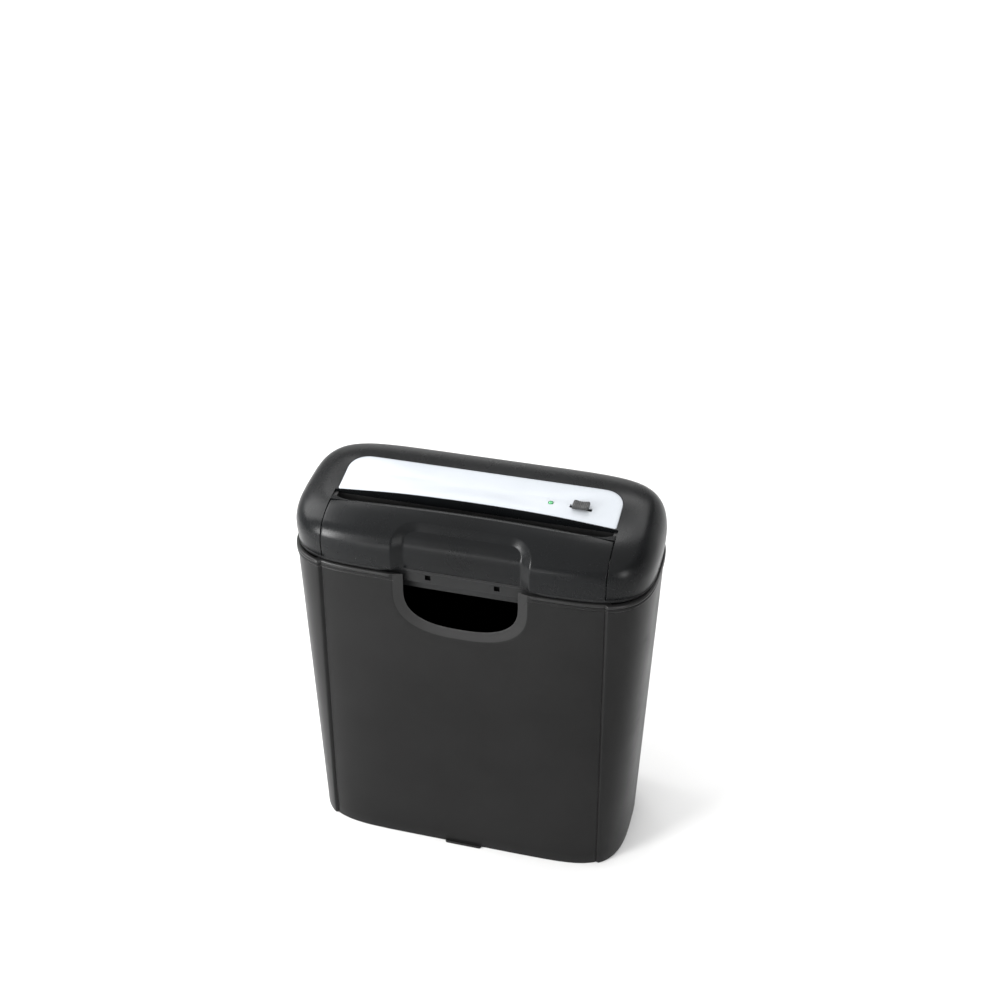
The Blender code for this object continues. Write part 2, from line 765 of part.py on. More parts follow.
def build_tub():
    outer = [tub_ring(*ring, 0.0) for ring in TUB_RINGS]
    outer.append(tub_ring(0.0, 0.0, 0.0, 0.0))
    outer.append(tub_ring(0.0, 0, 0, 0, (FLANGE_HALF_WIDTH, FLANGE_HALF_DEPTH)))
    outer.append(tub_ring(FLANGE_TOP, 0, 0, 0, (FLANGE_HALF_WIDTH, FLANGE_HALF_DEPTH)))
    tub = flat_loft("lower_shell", outer, (PLASTIC_SOFT, 0.0, 0.4))
    inner = [
        tub_ring(-TUB_DEPTH + TUB_WALL, 14.0, 5.4, TUB_WALL),
        tub_ring(-15.0, 6.0, 2.2, TUB_WALL),
        tub_ring(-9.0, 1.4, 0.4, TUB_WALL),
        tub_ring(-3.0, 0.0, 0.0, TUB_WALL),
        tub_ring(FLANGE_TOP + 5.0, 0.0, 0.0, TUB_WALL),
    ]
    cavity = flat_loft("lower_shell_cavity", inner)
    front = -TUB_HALF_DEPTH
    arch_wall = plate_y(
        "lower_shell_arch_wall", arch_outline(TUB_WALL), front - 20.0, front + ARCH_REACH + TUB_WALL
    )
    cut(cavity, arch_wall)
    for index, (x, y) in enumerate(SCREWS):
        boss = turned_z(
            f"lower_shell_boss_{index}", (x, y), ((SEAT - 30.0, 4.0), (SEAT + 20.0, 4.0)), 10
        )
        cut(cavity, boss)
    for index, (x, y) in enumerate(BOARD_POSTS):
        post = turned_z(
            f"lower_shell_board_post_{index}",
            (x, y),
            ((SEAT - 30.0, 2.5), (SEAT + BOARD_Z - FIT, 2.5)),
            8,
        )
        cut(cavity, post)
    prop = box(
        "lower_shell_switch_prop",
        (TAB_X + 10.6, TAB_Y - 4.0, SEAT - 30.0),
        (TAB_X + 13.6, TAB_Y + 4.0, SEAT + 5.0),
    )
    cut(cavity, prop)
    cut(tub, cavity)
    arch = plate_y("lower_shell_arch", arch_outline(0.0), front - 20.0, front + ARCH_REACH)
    exit_slot = plate_z(
        "lower_shell_exit",
        rounded_rectangle(
            -EXIT_HALF_LENGTH, EXIT_HALF_LENGTH, EXIT_FRONT, EXIT_REAR, (3, 3, 3, 3), 2
        ),
        SEAT - 40.0,
        SEAT - 12.0,
    )
    cut(tub, arch, exit_slot)
    for index, (x, y) in enumerate(SCREWS):
        hole = turned_z(
            f"lower_shell_screw_hole_{index}",
            (x, y),
            (
                (SEAT - 30.0, SCREW_HEAD_RADIUS + 0.4),
                (SEAT - 12.0, SCREW_HEAD_RADIUS + 0.4),
                (SEAT - 12.0, PILOT_RADIUS),
                (SEAT + 10.0, PILOT_RADIUS),
            ),
            12,
        )
        cut(tub, hole)
    plunger_hole = turned_z(
        "lower_shell_plunger_hole", (TAB_X, TAB_Y), ((SEAT - 30.0, 3.0), (SEAT - 10.0, 3.0)), 12
    )
    cut(tub, plunger_hole)
    for side in (-1, 1):
        window = box(
            f"lower_shell_front_hole_{side + 1}",
            (side * 28.0 - 2.3, front - 10.0, SEAT - 7.2),
            (side * 28.0 + 2.3, front + 12.0, SEAT - 2.6),
        )
        cut(tub, window)
    return tub




# ---------------------------------------------------------------- feed throat and sensor


def build_throat():
    """Funnel under the feed slot, with ears for the paper lever."""
    half = SLOT_HALF_LENGTH + 3.0
    section = (
        (-34.5, 32.6),
        (-34.5, 28.6),
        (-30.5, THROAT_BOTTOM),
        (-19.5, THROAT_BOTTOM),
        (-16.0, 28.0),
        (-16.0, 37.8),
        (-18.9, 37.8),
        (-18.9, 32.6),
    )
    outline = [(y, SEAT + z) for y, z in section]
    throat = plate_x("paper_throat", outline, -half, half, (PLASTIC, 0.0, 0.5))
    for side in (-1, 1):
        ear = box(
            f"paper_throat_ear_{side + 1}",
            (side * 5.5 - 1.1, -18.0, SEAT + 26.0),
            (side * 5.5 + 1.1, -4.5, SEAT + 34.0),
        )
        middle = side * (SLOT_HALF_LENGTH + 1.3)
        end_block = box(
            f"paper_throat_end_{side + 1}",
            (middle - 1.3, SLOT_FRONT + 0.4, SEAT + 30.0),
            (middle + 1.3, SLOT_REAR - 0.4, SEAT + 39.4),
        )
        join(throat, ear, end_block)
    funnel = flat_loft(
        "paper_throat_funnel",
        [
            throat_section(10.0, -3.0, 3.0),
            throat_section(26.0, -3.0, 3.0),
            throat_section(33.0, -6.1, 6.3),
            throat_section(60.0, -6.1, 6.3),
        ],
    )
    window = box(
        "paper_throat_window", (-3.2, -24.0, SEAT + 10.0), (3.2, -10.0, SEAT + 33.5)
    )
    pin_hole = plate_x(
        "paper_throat_pin_hole",
        circle((LEVER_PIVOT[0], SEAT + LEVER_PIVOT[1]), 1.3, 10),
        -12.0,
        12.0,
    )
    return cut(throat, funnel, window, pin_hole)


def throat_section(z, front, rear):
    reach = SLOT_HALF_LENGTH
    low = PAPER_Y + front
    high = PAPER_Y + rear
    return [(x, y, SEAT + z) for x, y in ((-reach, low), (reach, low), (reach, high), (-reach, high))]


def build_lever():
    y, z = LEVER_PIVOT
    outline = [
        (y + 2.6, z - 2.0),
        (y + 2.6, z + 2.2),
        (y - 2.0, z + 2.6),
        (y - 16.0, z - 1.0),
        (y - 19.5, z - 2.6),
        (y - 19.5, z - 4.0),
        (y - 14.0, z - 3.4),
        (y - 2.4, z - 2.2),
    ]
    lever = plate_x(
        "paper_lever",
        [(a, SEAT + b) for a, b in outline],
        -LEVER_HALF_WIDTH,
        LEVER_HALF_WIDTH,
        (NYLON, 0.0, 0.45),
    )
    hole = plate_x(
        "paper_lever_hole", circle((y, SEAT + z), 1.3, 10), -LEVER_HALF_WIDTH - 3, LEVER_HALF_WIDTH + 3
    )
    return cut(lever, hole)


def build_sensor():
    y, z = LEVER_PIVOT
    turned_x(
        "lever_pin", (y, SEAT + z), ((-7.4, 1.0), (7.4, 1.0)), 10, (STEEL, 1.0, 0.3)
    )
    box(
        "paper_switch",
        (-10.0, y + 4.0, SEAT + z - 7.0),
        (10.0, y + 10.4, SEAT + z + 4.0),
        (PLASTIC, 0.0, 0.5),
    )


# ---------------------------------------------------------------- top switch and light
def skin_height(x, y):
    """Height of the head's skin over (x, y) near the slot and the inlay."""
    best = None
    rows = []
    for ring in range(CREST_RING - 2, len(HEAD_RINGS)):
        half_width, front, rear = ring_sizes(ring, 0.0)
        edge = -bow(x, half_width, front) if abs(x) < half_width else 0.0
        rows.append((edge, ring_height(ring, x, -1.0 if edge < 0 else 0.0, 0.0)))
    rows.append((0.0, 47.3))
    for (y_low, z_low), (y_high, z_high) in zip(rows, rows[1:]):
        if y_low <= y <= y_high and y_high > y_low:
            best = z_low + (z_high - z_low) * (y - y_low) / (y_high - y_low)
    return best if best is not None else rows[-1][1]


def build_switch():
    top = SEAT + skin_height(SWITCH_X, SWITCH_Y)
    knob = box(
        "mode_switch_knob",
        (SWITCH_X - 6.5, SWITCH_Y - 4.5, top + 1.0),
        (SWITCH_X + 6.5, SWITCH_Y + 4.5, top + 4.4),
        (PLASTIC_SOFT, 0.0, 0.45),
    )
    stem = box(
        "mode_switch_stem",
        (SWITCH_X - 3.0, SWITCH_Y - 1.5, top - 6.0),
        (SWITCH_X + 3.0, SWITCH_Y + 1.5, top + 2.0),
    )
    join(knob, stem)
    body = box(
        "mode_switch_body",
        (SWITCH_X - 14.0, SWITCH_Y - 6.0, top - 17.0),
        (SWITCH_X + 14.0, SWITCH_Y + 6.0, top - 6.4),
        (STEEL, 1.0, 0.4),
    )
    pipe_top = SEAT + skin_height(LIGHT_X, SWITCH_Y)
    pipe = turned_z(
        "status_light",
        (LIGHT_X, SWITCH_Y),
        ((pipe_top - 14.0, 2.0), (pipe_top + 0.2, 2.0), (pipe_top + 0.7, 1.3)),
        12,
        ((0.10, 0.55, 0.16), 0.0, 0.2),
    )
    return knob, body, pipe


# ---------------------------------------------------------------- interlock
def build_interlock():
    plunger = turned_z(
        "interlock_plunger",
        (TAB_X, TAB_Y),
        (
            (TAB_TOP + 0.3, 2.0),
            (TAB_TOP + 0.8, 2.5),
            (SEAT - 15.5, 2.5),
            (SEAT - 15.5, 4.0),
            (SEAT - 13.5, 4.0),
            (SEAT - 13.5, 2.0),
            (SEAT - 8.2, 2.0),
        ),
        12,
        (NYLON, 0.0, 0.45),
    )
    switch = box(
        "interlock_switch",
        (TAB_X - 10.0, TAB_Y - 3.2, SEAT - 4.8),
        (TAB_X + 10.2, TAB_Y + 3.2, SEAT + 5.2),
        (PLASTIC, 0.0, 0.5),
    )
    return plunger, switch


# ---------------------------------------------------------------- cutters
def cutter_profile(disc_centres, left_end, right_end):
    profile = [(left_end, SHAFT_RADIUS), (-CORE_END, SHAFT_RADIUS), (-CORE_END, CORE_RADIUS)]
    half = DISC_THICKNESS / 2
    for x in disc_centres:
        profile += [
            (x - half, CORE_RADIUS),
            (x - half, DISC_RADIUS),
            (x + half, DISC_RADIUS),
            (x + half, CORE_RADIUS),
        ]
    profile += [(CORE_END, CORE_RADIUS), (CORE_END, SHAFT_RADIUS), (right_end, SHAFT_RADIUS)]
    return profile


def lifted(axis):
    return (axis[0], SEAT + axis[1])


def build_cutters():
    front_discs = [(index - 8) * DISC_PITCH for index in range(17)]
    rear_discs = [(index - 8.5) * DISC_PITCH for index in range(18)]
    steel = (STEEL, 1.0, 0.35)
    front_profile_x = cutter_profile(front_discs, -SHAFT_END, PLATE_OUT + 1.4)
    rear_profile_x = cutter_profile(rear_discs, -SHAFT_END, SHAFT_END)
    turned_x("cutter_front", lifted(FRONT_AXIS), front_profile_x, 12, steel)
    turned_x("cutter_rear", lifted(REAR_AXIS), rear_profile_x, 12, steel)
    comb_low = CUTTER_Z - 4.0
    comb_high = CUTTER_Z + 4.0
    reach = DISC_RADIUS + 0.8
    nylon = (PLASTIC_SOFT, 0.0, 0.5)
    build_comb(
        "comb_front",
        rear_discs[1:-1],
        FRONT_AXIS[0] - reach - 2.6,
        FRONT_AXIS[0] - reach,
        FRONT_AXIS[0] - CORE_RADIUS - 0.6,
        (comb_low, comb_high),
        nylon,
    )
    build_comb(
        "comb_rear",
        front_discs,
        REAR_AXIS[0] + reach + 2.6,
        REAR_AXIS[0] + reach,
        REAR_AXIS[0] + CORE_RADIUS + 0.6,
        (comb_low, comb_high),
        nylon,
    )


def build_comb(name, centres, back, root, tip, heights, look):
    """A bar along the cutter with a finger between each pair of discs."""
    half = COMB_FINGER / 2
    end = CORE_END + 0.4
    outline = [(-end, back), (-end, root)]
    for x in centres:
        outline += [(x - half, root), (x - half, tip), (x + half, tip), (x + half, root)]
    outline += [(end, root), (end, back)]
    return plate_z(name, outline, SEAT + heights[0], SEAT + heights[1], look)


def build_frame():
    """End plates, bushings and tie rods that carry the cutters."""
    steel = (STEEL, 1.0, 0.45)
    front_edge = [(-46.5, 25.0), (-46.5, -3.0), (-45.5, -9.0), (-42.0, -14.5), (-33.0, -17.2)]
    top_edge = [(-12.0, 22.0), (-36.0, 22.0), (-39.0, 28.0), (-46.5, 28.0)]
    left_outline = front_edge + [(6.0, -17.2), (11.0, -12.0), (11.0, 30.0), (0.0, 30.0)]
    left_outline += top_edge
    right_outline = front_edge + [
        (33.0, -17.2),
        (42.0, -14.5),
        (45.5, -9.0),
        (46.5, -3.0),
        (46.5, 24.0),
        (36.0, 32.5),
        (0.0, 32.5),
    ]
    right_outline += top_edge
    plates = {}
    for name, outline, low, high in (
        ("end_plate_left", left_outline, -PLATE_OUT, -PLATE_IN),
        ("end_plate_right", right_outline, PLATE_IN, PLATE_OUT),
    ):
        plate = plate_x(name, [(y, SEAT + z) for y, z in outline], low, high, steel)
        for index, axis in enumerate((FRONT_AXIS, REAR_AXIS)):
            hole = plate_x(
                f"{name}_bore_{index}",
                circle(lifted(axis), BUSHING_RADIUS + FIT, 20),
                low - 5.0,
                high + 5.0,
            )
            cut(plate, hole)
        plates[name] = plate
    motor_hole = plate_x(
        "end_plate_right_motor_hole",
        circle(lifted(MOTOR_AXIS), 4.4, 16),
        PLATE_IN - 5.0,
        PLATE_OUT + 5.0,
    )
    cut(plates["end_plate_right"], motor_hole)
    for side, x_low in (("left", -PLATE_OUT - 1.0), ("right", PLATE_IN - 0.4)):
        for place, axis in (("front", FRONT_AXIS), ("rear", REAR_AXIS)):
            ring_x(
                f"bushing_{place}_{side}",
                lifted(axis),
                SHAFT_RADIUS + FIT,
                ((x_low, BUSHING_RADIUS), (x_low + 4.0, BUSHING_RADIUS)),
                16,
                (BRASS, 1.0, 0.4),
            )
    for index, axis in enumerate(TIE_RODS):
        end = PLATE_IN - FIT
        turned_x(
            f"tie_rod_{index + 1}",
            lifted(axis),
            ((-end, TIE_RADIUS), (end, TIE_RADIUS)),
            12,
            (STEEL, 1.0, 0.3),
        )


# ---------------------------------------------------------------- gears
def involute(angle):
    return math.tan(angle) - angle


def gear_outline(centre, teeth, module, phase, fine):
    """Tooth outline in (y, z); a tooth points along phase.  fine curves each flank."""
    pitch = module * teeth / 2
    base = pitch * math.cos(math.radians(20))
    tip = pitch + 0.85 * module
    root = pitch - 1.15 * module
    radii = [root, max(base, root + 0.1), pitch, tip] if fine else [root, tip]
    slack = 0.16 * module / (2 * pitch)
    points = []
    for tooth in range(teeth):
        middle = phase + 2 * math.pi * tooth / teeth
        rising = []
        for radius in radii:
            lean = involute(math.acos(min(base / radius, 1.0)))
            half = math.pi / (2 * teeth) - slack + involute(math.radians(20)) - lean
            rising.append((radius, half))
        for radius, half in rising:
            points.append((radius, middle - half))
        for radius, half in reversed(rising):
            points.append((radius, middle + half))
    return [(centre[0] + r * math.cos(a), centre[1] + r * math.sin(a)) for r, a in points]


def bearing_of(start, end):
    return math.atan2(end[1] - start[1], end[0] - start[0])


def build_gears():
    motor = lifted(MOTOR_AXIS)
    second = lifted(IDLER_2)
    rear = lifted(REAR_AXIS)
    front = lifted(FRONT_AXIS)
    first = idler_1_centre(second, motor)
    nylon = (NYLON, 0.0, 0.4)
    steel = (STEEL, 1.0, 0.35)
    bore = SHAFT_RADIUS + FIT
    axle_bore = AXLE_RADIUS + FIT

    low, high = -SYNC_END, -PLATE_OUT - 1.6
    toward = bearing_of(front, rear)
    sync_front = gear_outline(front, SYNC_TEETH, SYNC_MODULE, toward, True)
    sync_rear = gear_outline(
        rear, SYNC_TEETH, SYNC_MODULE, toward + math.pi + math.pi / SYNC_TEETH, True
    )
    for name, outline, centre in (
        ("sync_gear_front", sync_front, front),
        ("sync_gear_rear", sync_rear, rear),
    ):
        gear = plate_x(name, outline, low, high, steel)
        cut(gear, plate_x(f"{name}_bore", circle(centre, bore, 14), low - 5, high + 5))

    toward = bearing_of(rear, second)
    drive = plate_x("drive_gear", gear_outline(rear, 36, 1.0, toward, False), *LAYER_A, nylon)
    cut(drive, plate_x("drive_gear_bore", circle(rear, bore, 14), 100.0, 140.0))

    pinion = gear_outline(second, 12, 1.0, toward + math.pi + math.pi / 12, True)
    idler_2 = plate_x("idler_gear_2", pinion, LAYER_A[0], LAYER_B[0] + 0.5, nylon)
    toward = bearing_of(second, first)
    wheel = gear_outline(second, 40, 0.8, toward, False)
    join(idler_2, plate_x("idler_gear_2_wheel", wheel, LAYER_B[0], LAYER_B[1]))
    cut(idler_2, plate_x("idler_gear_2_bore", circle(second, axle_bore, 14), 100.0, 150.0))

    pinion = gear_outline(first, 10, 0.8, toward + math.pi + math.pi / 10, True)
    idler_1 = plate_x("idler_gear_1", pinion, LAYER_B[0], LAYER_C[0] + 0.5, nylon)
    toward = bearing_of(first, motor)
    wheel = gear_outline(first, 40, 0.6, toward, False)
    join(idler_1, plate_x("idler_gear_1_wheel", wheel, LAYER_C[0], LAYER_C[1]))
    hub = turned_x(
        "idler_gear_1_hub", first, ((LAYER_A[0], 2.95), (LAYER_B[0] + 0.3, 2.95)), 14
    )
    join(idler_1, hub)
    cut(idler_1, plate_x("idler_gear_1_bore", circle(first, axle_bore, 14), 100.0, 150.0))

    pinion = gear_outline(motor, 10, 0.6, toward + math.pi + math.pi / 10, True)
    pinion_gear = plate_x("motor_pinion", pinion, LAYER_C[0] - 0.5, LAYER_C[1] + 0.4, (BRASS, 1.0, 0.35))
    bore_tool = plate_x("motor_pinion_bore", circle(motor, 1.35, 12), 100.0, 150.0)
    cut(pinion_gear, bore_tool)

    for name, centre in (("gear_axle_1", first), ("gear_axle_2", second)):
        turned_x(
            name,
            centre,
            ((PLATE_OUT + FIT, AXLE_RADIUS), (LAYER_C[1] + 1.2, AXLE_RADIUS)),
            12,
            (STEEL, 1.0, 0.3),
        )
    build_gear_cover(first, second)


def idler_1_centre(second, motor):
    """Centre of the first idler, above the line from the second idler to the motor."""
    dy = motor[0] - second[0]
    dz = motor[1] - second[1]
    span = math.hypot(dy, dz)
    along = (IDLER_LINK**2 - IDLER_1_OUT**2 + span**2) / (2 * span)
    above = math.sqrt(IDLER_LINK**2 - along**2)
    return (
        second[0] + along * dy / span - above * dz / span,
        second[1] + along * dz / span + above * dy / span,
    )


def build_gear_cover(first, second):
    """Outboard plate that holds the ends of the idler axles, on two pillars."""
    low = LAYER_C[1] + 1.5
    lower_pillar = (second[0] + 20.3, second[1] - 2.5)
    upper_pillar = (second[0] - 6.7, second[1] + 21.0)
    outline = [
        (second[0] - 7.0, second[1] + 4.0),
        (second[0] - 7.0, second[1] - 3.0),
        (second[0] - 3.0, second[1] - 5.0),
        (lower_pillar[0] + 3.5, second[1] - 5.0),
        (lower_pillar[0] + 4.0, second[1]),
        (first[0] + 8.0, first[1] - 4.0),
        (first[0] + 7.0, first[1] + 6.0),
        (first[0] - 4.0, first[1] + 9.0),
        (upper_pillar[0] - 4.0, upper_pillar[1] + 4.0),
        (upper_pillar[0] - 4.5, upper_pillar[1] - 5.0),
    ]
    cover = plate_x("gear_cover", outline, low, low + 2.2, (PLASTIC_SOFT, 0.0, 0.5))
    pillars = (lower_pillar, upper_pillar)
    for index, centre in enumerate(pillars):
        pillar = turned_x(
            f"gear_cover_pillar_{index}",
            centre,
            ((PLATE_OUT + FIT, 2.4), (low + 1.0, 2.4)),
            10,
        )
        join(cover, pillar)
    return cover


# ---------------------------------------------------------------- motor
def build_motor():
    motor = lifted(MOTOR_AXIS)
    steel = (STEEL, 1.0, 0.4)
    can = turned_x(
        "motor_can",
        motor,
        (
            (MOTOR_FROM, MOTOR_RADIUS),
            (MOTOR_TO, MOTOR_RADIUS),
            (MOTOR_TO, 4.0),
            (PLATE_IN + 1.6, 4.0),
        ),
        28,
        steel,
    )
    hollow = turned_x(
        "motor_can_hollow",
        motor,
        ((MOTOR_FROM - 10.0, MOTOR_RADIUS - MOTOR_WALL), (MOTOR_TO - 2.0, MOTOR_RADIUS - MOTOR_WALL)),
        24,
    )
    bore = turned_x(
        "motor_can_bore",
        motor,
        ((MOTOR_TO - 8.0, MOTOR_SHAFT_RADIUS + FIT), (MOTOR_TO + 12.0, MOTOR_SHAFT_RADIUS + FIT)),
        12,
    )
    cut(can, hollow, bore)
    turned_x(
        "motor_rotor",
        motor,
        (
            (MOTOR_FROM + 1.0, MOTOR_SHAFT_RADIUS),
            (MOTOR_FROM + 8.0, MOTOR_SHAFT_RADIUS),
            (MOTOR_FROM + 8.0, 5.0),
            (MOTOR_FROM + 16.0, 5.0),
            (MOTOR_FROM + 16.0, 10.5),
            (MOTOR_TO - 8.0, 10.5),
            (MOTOR_TO - 8.0, MOTOR_SHAFT_RADIUS),
            (LAYER_C[0] - 1.0, MOTOR_SHAFT_RADIUS),
            (LAYER_C[0] - 1.0, 1.0),
            (LAYER_C[1] + 0.6, 1.0),
        ),
        16,
        (STEEL, 1.0, 0.35),
    )
    cap = turned_x(
        "motor_end_cap",
        motor,
        (
            (MOTOR_FROM - 9.0, 6.0),
            (MOTOR_FROM - 5.0, 6.0),
            (MOTOR_FROM - 5.0, MOTOR_RADIUS),
            (MOTOR_FROM - 0.3, MOTOR_RADIUS),
            (MOTOR_FROM - 0.3, MOTOR_RADIUS - MOTOR_WALL - FIT),
            (MOTOR_FROM + 4.0, MOTOR_RADIUS - MOTOR_WALL - FIT),
        ),
        24,
        (PLASTIC, 0.0, 0.5),
    )
    seat = turned_x(
        "motor_end_cap_bore",
        motor,
        (
            (MOTOR_FROM - 3.0, MOTOR_SHAFT_RADIUS + FIT),
            (MOTOR_FROM + 10.0, MOTOR_SHAFT_RADIUS + FIT),
        ),
        12,
    )
    cut(cap, seat)
    cradle_top = MOTOR_AXIS[1] - 9.0
    cradle = box(
        "motor_cradle",
        (58.0, MOTOR_AXIS[0] - 13.0, SEAT - TUB_DEPTH + TUB_WALL + FIT),
        (68.0, MOTOR_AXIS[0] + 11.5, SEAT + cradle_top),
        (PLASTIC_SOFT, 0.0, 0.5),
    )
    saddle = turned_x(
        "motor_cradle_saddle",
        motor,
        ((50.0, MOTOR_RADIUS + FIT), (80.0, MOTOR_RADIUS + FIT)),
        28,
    )
    cut(cradle, saddle)


# ---------------------------------------------------------------- electrics
def build_board():
    top = SEAT + BOARD_Z
    low_x, low_y = BOARD_LOW
    high_x, high_y = BOARD_HIGH
    box(
        "circuit_board",
        (low_x, low_y, top),
        (high_x, high_y, top + 1.6),
        (GREEN, 0.0, 0.4),
    )
    face = top + 1.6 + FIT
    box(
        "relay_forward",
        (low_x + 6.0, low_y + 6.0, face),
        (low_x + 25.0, low_y + 21.0, face + 15.0),
        ((0.02, 0.05, 0.20), 0.0, 0.4),
    )
    box(
        "relay_reverse",
        (low_x + 29.0, low_y + 6.0, face),
        (low_x + 48.0, low_y + 21.0, face + 15.0),
        ((0.02, 0.05, 0.20), 0.0, 0.4),
    )
    turned_z(
        "capacitor",
        (high_x - 10.0, low_y + 17.0),
        ((face, 6.5), (face + 14.0, 6.5)),
        16,
        ((0.03, 0.03, 0.05), 0.0, 0.35),
    )
    box(
        "terminal_block",
        (low_x + 12.0, high_y - 9.0, face),
        (low_x + 42.0, high_y - 1.5, face + 9.0),
        ((0.05, 0.20, 0.08), 0.0, 0.45),
    )
    motor_y, motor_z = lifted(MOTOR_AXIS)
    end_x = MOTOR_FROM - 5.0 - FIT
    board_x = high_x + 0.8
    for name, side, rise, colour in (
        ("motor_lead_a", -1, 10.0, (0.45, 0.02, 0.02)),
        ("motor_lead_b", 1, 12.0, (0.03, 0.03, 0.03)),
    ):
        y = motor_y + side * 9.0
        path = [
            (end_x, y, motor_z + rise * 0.3),
            (end_x - 6.0, y, motor_z + rise * 0.4),
            (end_x - 20.0, y - 1.0, motor_z + rise),
            (end_x - 40.0, y - 3.0, motor_z + rise * 0.6),
            (board_x + 12.0, y - 5.0, top + 8.0),
            (board_x + 3.0, y - 6.0, top + 1.2),
            (board_x, y - 6.0, top + 0.8),
        ]
        swept_tube(name, path, 1.1, 8, (colour, 0.0, 0.45))


def build_gland():
    """Rubber gland in the rear wall where the mains lead enters."""
    x, z = GLAND_X, SEAT + GLAND_Z
    wall_out = bow(x, HEAD_HALF_WIDTH, HEAD_REAR)
    wall_in = bow(x, HEAD_HALF_WIDTH - HEAD_WALL, HEAD_REAR - HEAD_WALL)
    profile = (
        (wall_in - 4.0, GLAND_FLANGE),
        (wall_in - 1.5, GLAND_FLANGE),
        (wall_in - 1.5, GLAND_NECK),
        (wall_out + 0.4, GLAND_NECK),
        (wall_out + 0.4, GLAND_FLANGE),
        (wall_out + 2.0, GLAND_FLANGE),
        (wall_out + 2.6, GLAND_FLANGE - 1.0),
        (wall_out + 2.6, GLAND_BORE),
        (wall_in - 4.0, GLAND_BORE),
    )
    count = 16
    vertices = []
    for y, radius in profile:
        vertices += [(a, y, b) for a, b in circle((x, z), radius, count)]
    add_object("cord_gland", vertices, band_faces(len(profile), count), ((0.02,) * 3, 0.0, 0.7))


def build_screws():
    for index, (x, y) in enumerate(SCREWS):
        turned_z(
            f"case_screw_{index + 1}",
            (x, y),
            (
                (SEAT - 15.0, SCREW_HEAD_RADIUS - 0.5),
                (SEAT - 14.4, SCREW_HEAD_RADIUS),
                (SEAT - 12.3, SCREW_HEAD_RADIUS),
                (SEAT - 12.3, SCREW_RADIUS),
                (SEAT + 14.0, SCREW_RADIUS),
            ),
            12,
            (STEEL, 1.0, 0.35),
        )


def place_origins():
    """Moving pieces turn and slide about their own origins."""
    motor = lifted(MOTOR_AXIS)
    second = lifted(IDLER_2)
    places = (
        (("cutter_front", "sync_gear_front"), lifted(FRONT_AXIS)),
        (("cutter_rear", "sync_gear_rear", "drive_gear"), lifted(REAR_AXIS)),
        (("idler_gear_2",), second),
        (("idler_gear_1",), idler_1_centre(second, motor)),
        (("motor_rotor", "motor_pinion"), motor),
        (("paper_lever",), lifted(LEVER_PIVOT)),
    )
    for names, (y, z) in places:
        for name in names:
            set_origin(bpy.data.objects[name], (0.0, y, z))
    set_origin(bpy.data.objects["interlock_plunger"], (TAB_X, TAB_Y, TAB_TOP + FIT))
    knob_base = SEAT + skin_height(SWITCH_X, SWITCH_Y)
    set_origin(bpy.data.objects["mode_switch_knob"], (SWITCH_X, SWITCH_Y, knob_base))


def shade_round_pieces():
    for item in bpy.data.objects:
        if not item.hide_render:
            item.data.shade_smooth()
            item.data.set_sharp_from_angle(angle=math.radians(SHARP_DEGREES))


build_bin()
build_tub()
build_front_cover()
build_rear_cover()
build_inlay()
build_throat()
build_lever()
build_sensor()
build_switch()
build_interlock()
build_cutters()
build_frame()
build_gears()
build_motor()
build_board()
build_gland()
build_screws()
place_origins()
shade_round_pieces()
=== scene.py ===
"""Looks for a strip-cut paper shredder: a lift-off cutting head seated on a waste bin.

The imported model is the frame.  The shells are rebuilt as fine meshes on the same dimensions,
and every piece gets a node-based finish.  Lengths are in millimetres and become metres where
meshes are made.
"""
import json
import math

import bmesh
import bpy
import numpy as np
from mathutils import Matrix, Vector
from mathutils.bvhtree import BVHTree


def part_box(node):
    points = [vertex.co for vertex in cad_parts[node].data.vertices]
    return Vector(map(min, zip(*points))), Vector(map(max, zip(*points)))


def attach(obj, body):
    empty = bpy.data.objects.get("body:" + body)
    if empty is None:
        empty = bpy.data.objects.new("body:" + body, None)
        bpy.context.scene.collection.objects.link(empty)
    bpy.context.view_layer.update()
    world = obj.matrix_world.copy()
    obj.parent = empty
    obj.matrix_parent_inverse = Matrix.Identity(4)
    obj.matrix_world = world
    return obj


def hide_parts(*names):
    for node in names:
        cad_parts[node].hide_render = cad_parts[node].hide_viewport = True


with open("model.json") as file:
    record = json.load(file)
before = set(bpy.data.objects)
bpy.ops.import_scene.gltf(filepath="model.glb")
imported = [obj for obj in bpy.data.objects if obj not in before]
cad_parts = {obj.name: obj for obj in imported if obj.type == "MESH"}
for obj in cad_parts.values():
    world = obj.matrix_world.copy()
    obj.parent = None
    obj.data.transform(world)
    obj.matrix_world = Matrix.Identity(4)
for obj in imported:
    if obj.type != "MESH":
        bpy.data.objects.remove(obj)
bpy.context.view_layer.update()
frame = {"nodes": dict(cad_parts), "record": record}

MM = 0.001
MATERIAL_SLOT = {row["node"]: row["material_slot"] for row in frame["record"]["subparts"]}

# Bin
BIN_HEIGHT = 277.0
RIM_HALF_WIDTH = 147.2
RIM_HALF_DEPTH = 63.7
BASE_HALF_WIDTH = 136.2
BASE_HALF_DEPTH = 65.5
PLAN_POWER_X = 7.0
PLAN_POWER_Y = 3.05
BIN_WALL = 2.6
BIN_FLOOR = 3.0
PANEL_RECESS = 2.5
SEAM_TOP = 114.2
SEAM_BOTTOM = 116.2
SEAM_SLOPE = 2.4
SEAM_GROOVE = 0.5
LIP_OUT = 0.8
NOTCH_HALF_WIDTH = 46.5
NOTCH_DEPTH = 45.5
NOTCH_CURVE_HEIGHT = 30.0
NOTCH_MIDDLE = BIN_HEIGHT - NOTCH_DEPTH + NOTCH_CURVE_HEIGHT
NOTCH_POWER = 2.6
NOTCH_BAND = 8.0
NOTCH_BAND_DEPTH = 2.2
TAB_X = 20.0
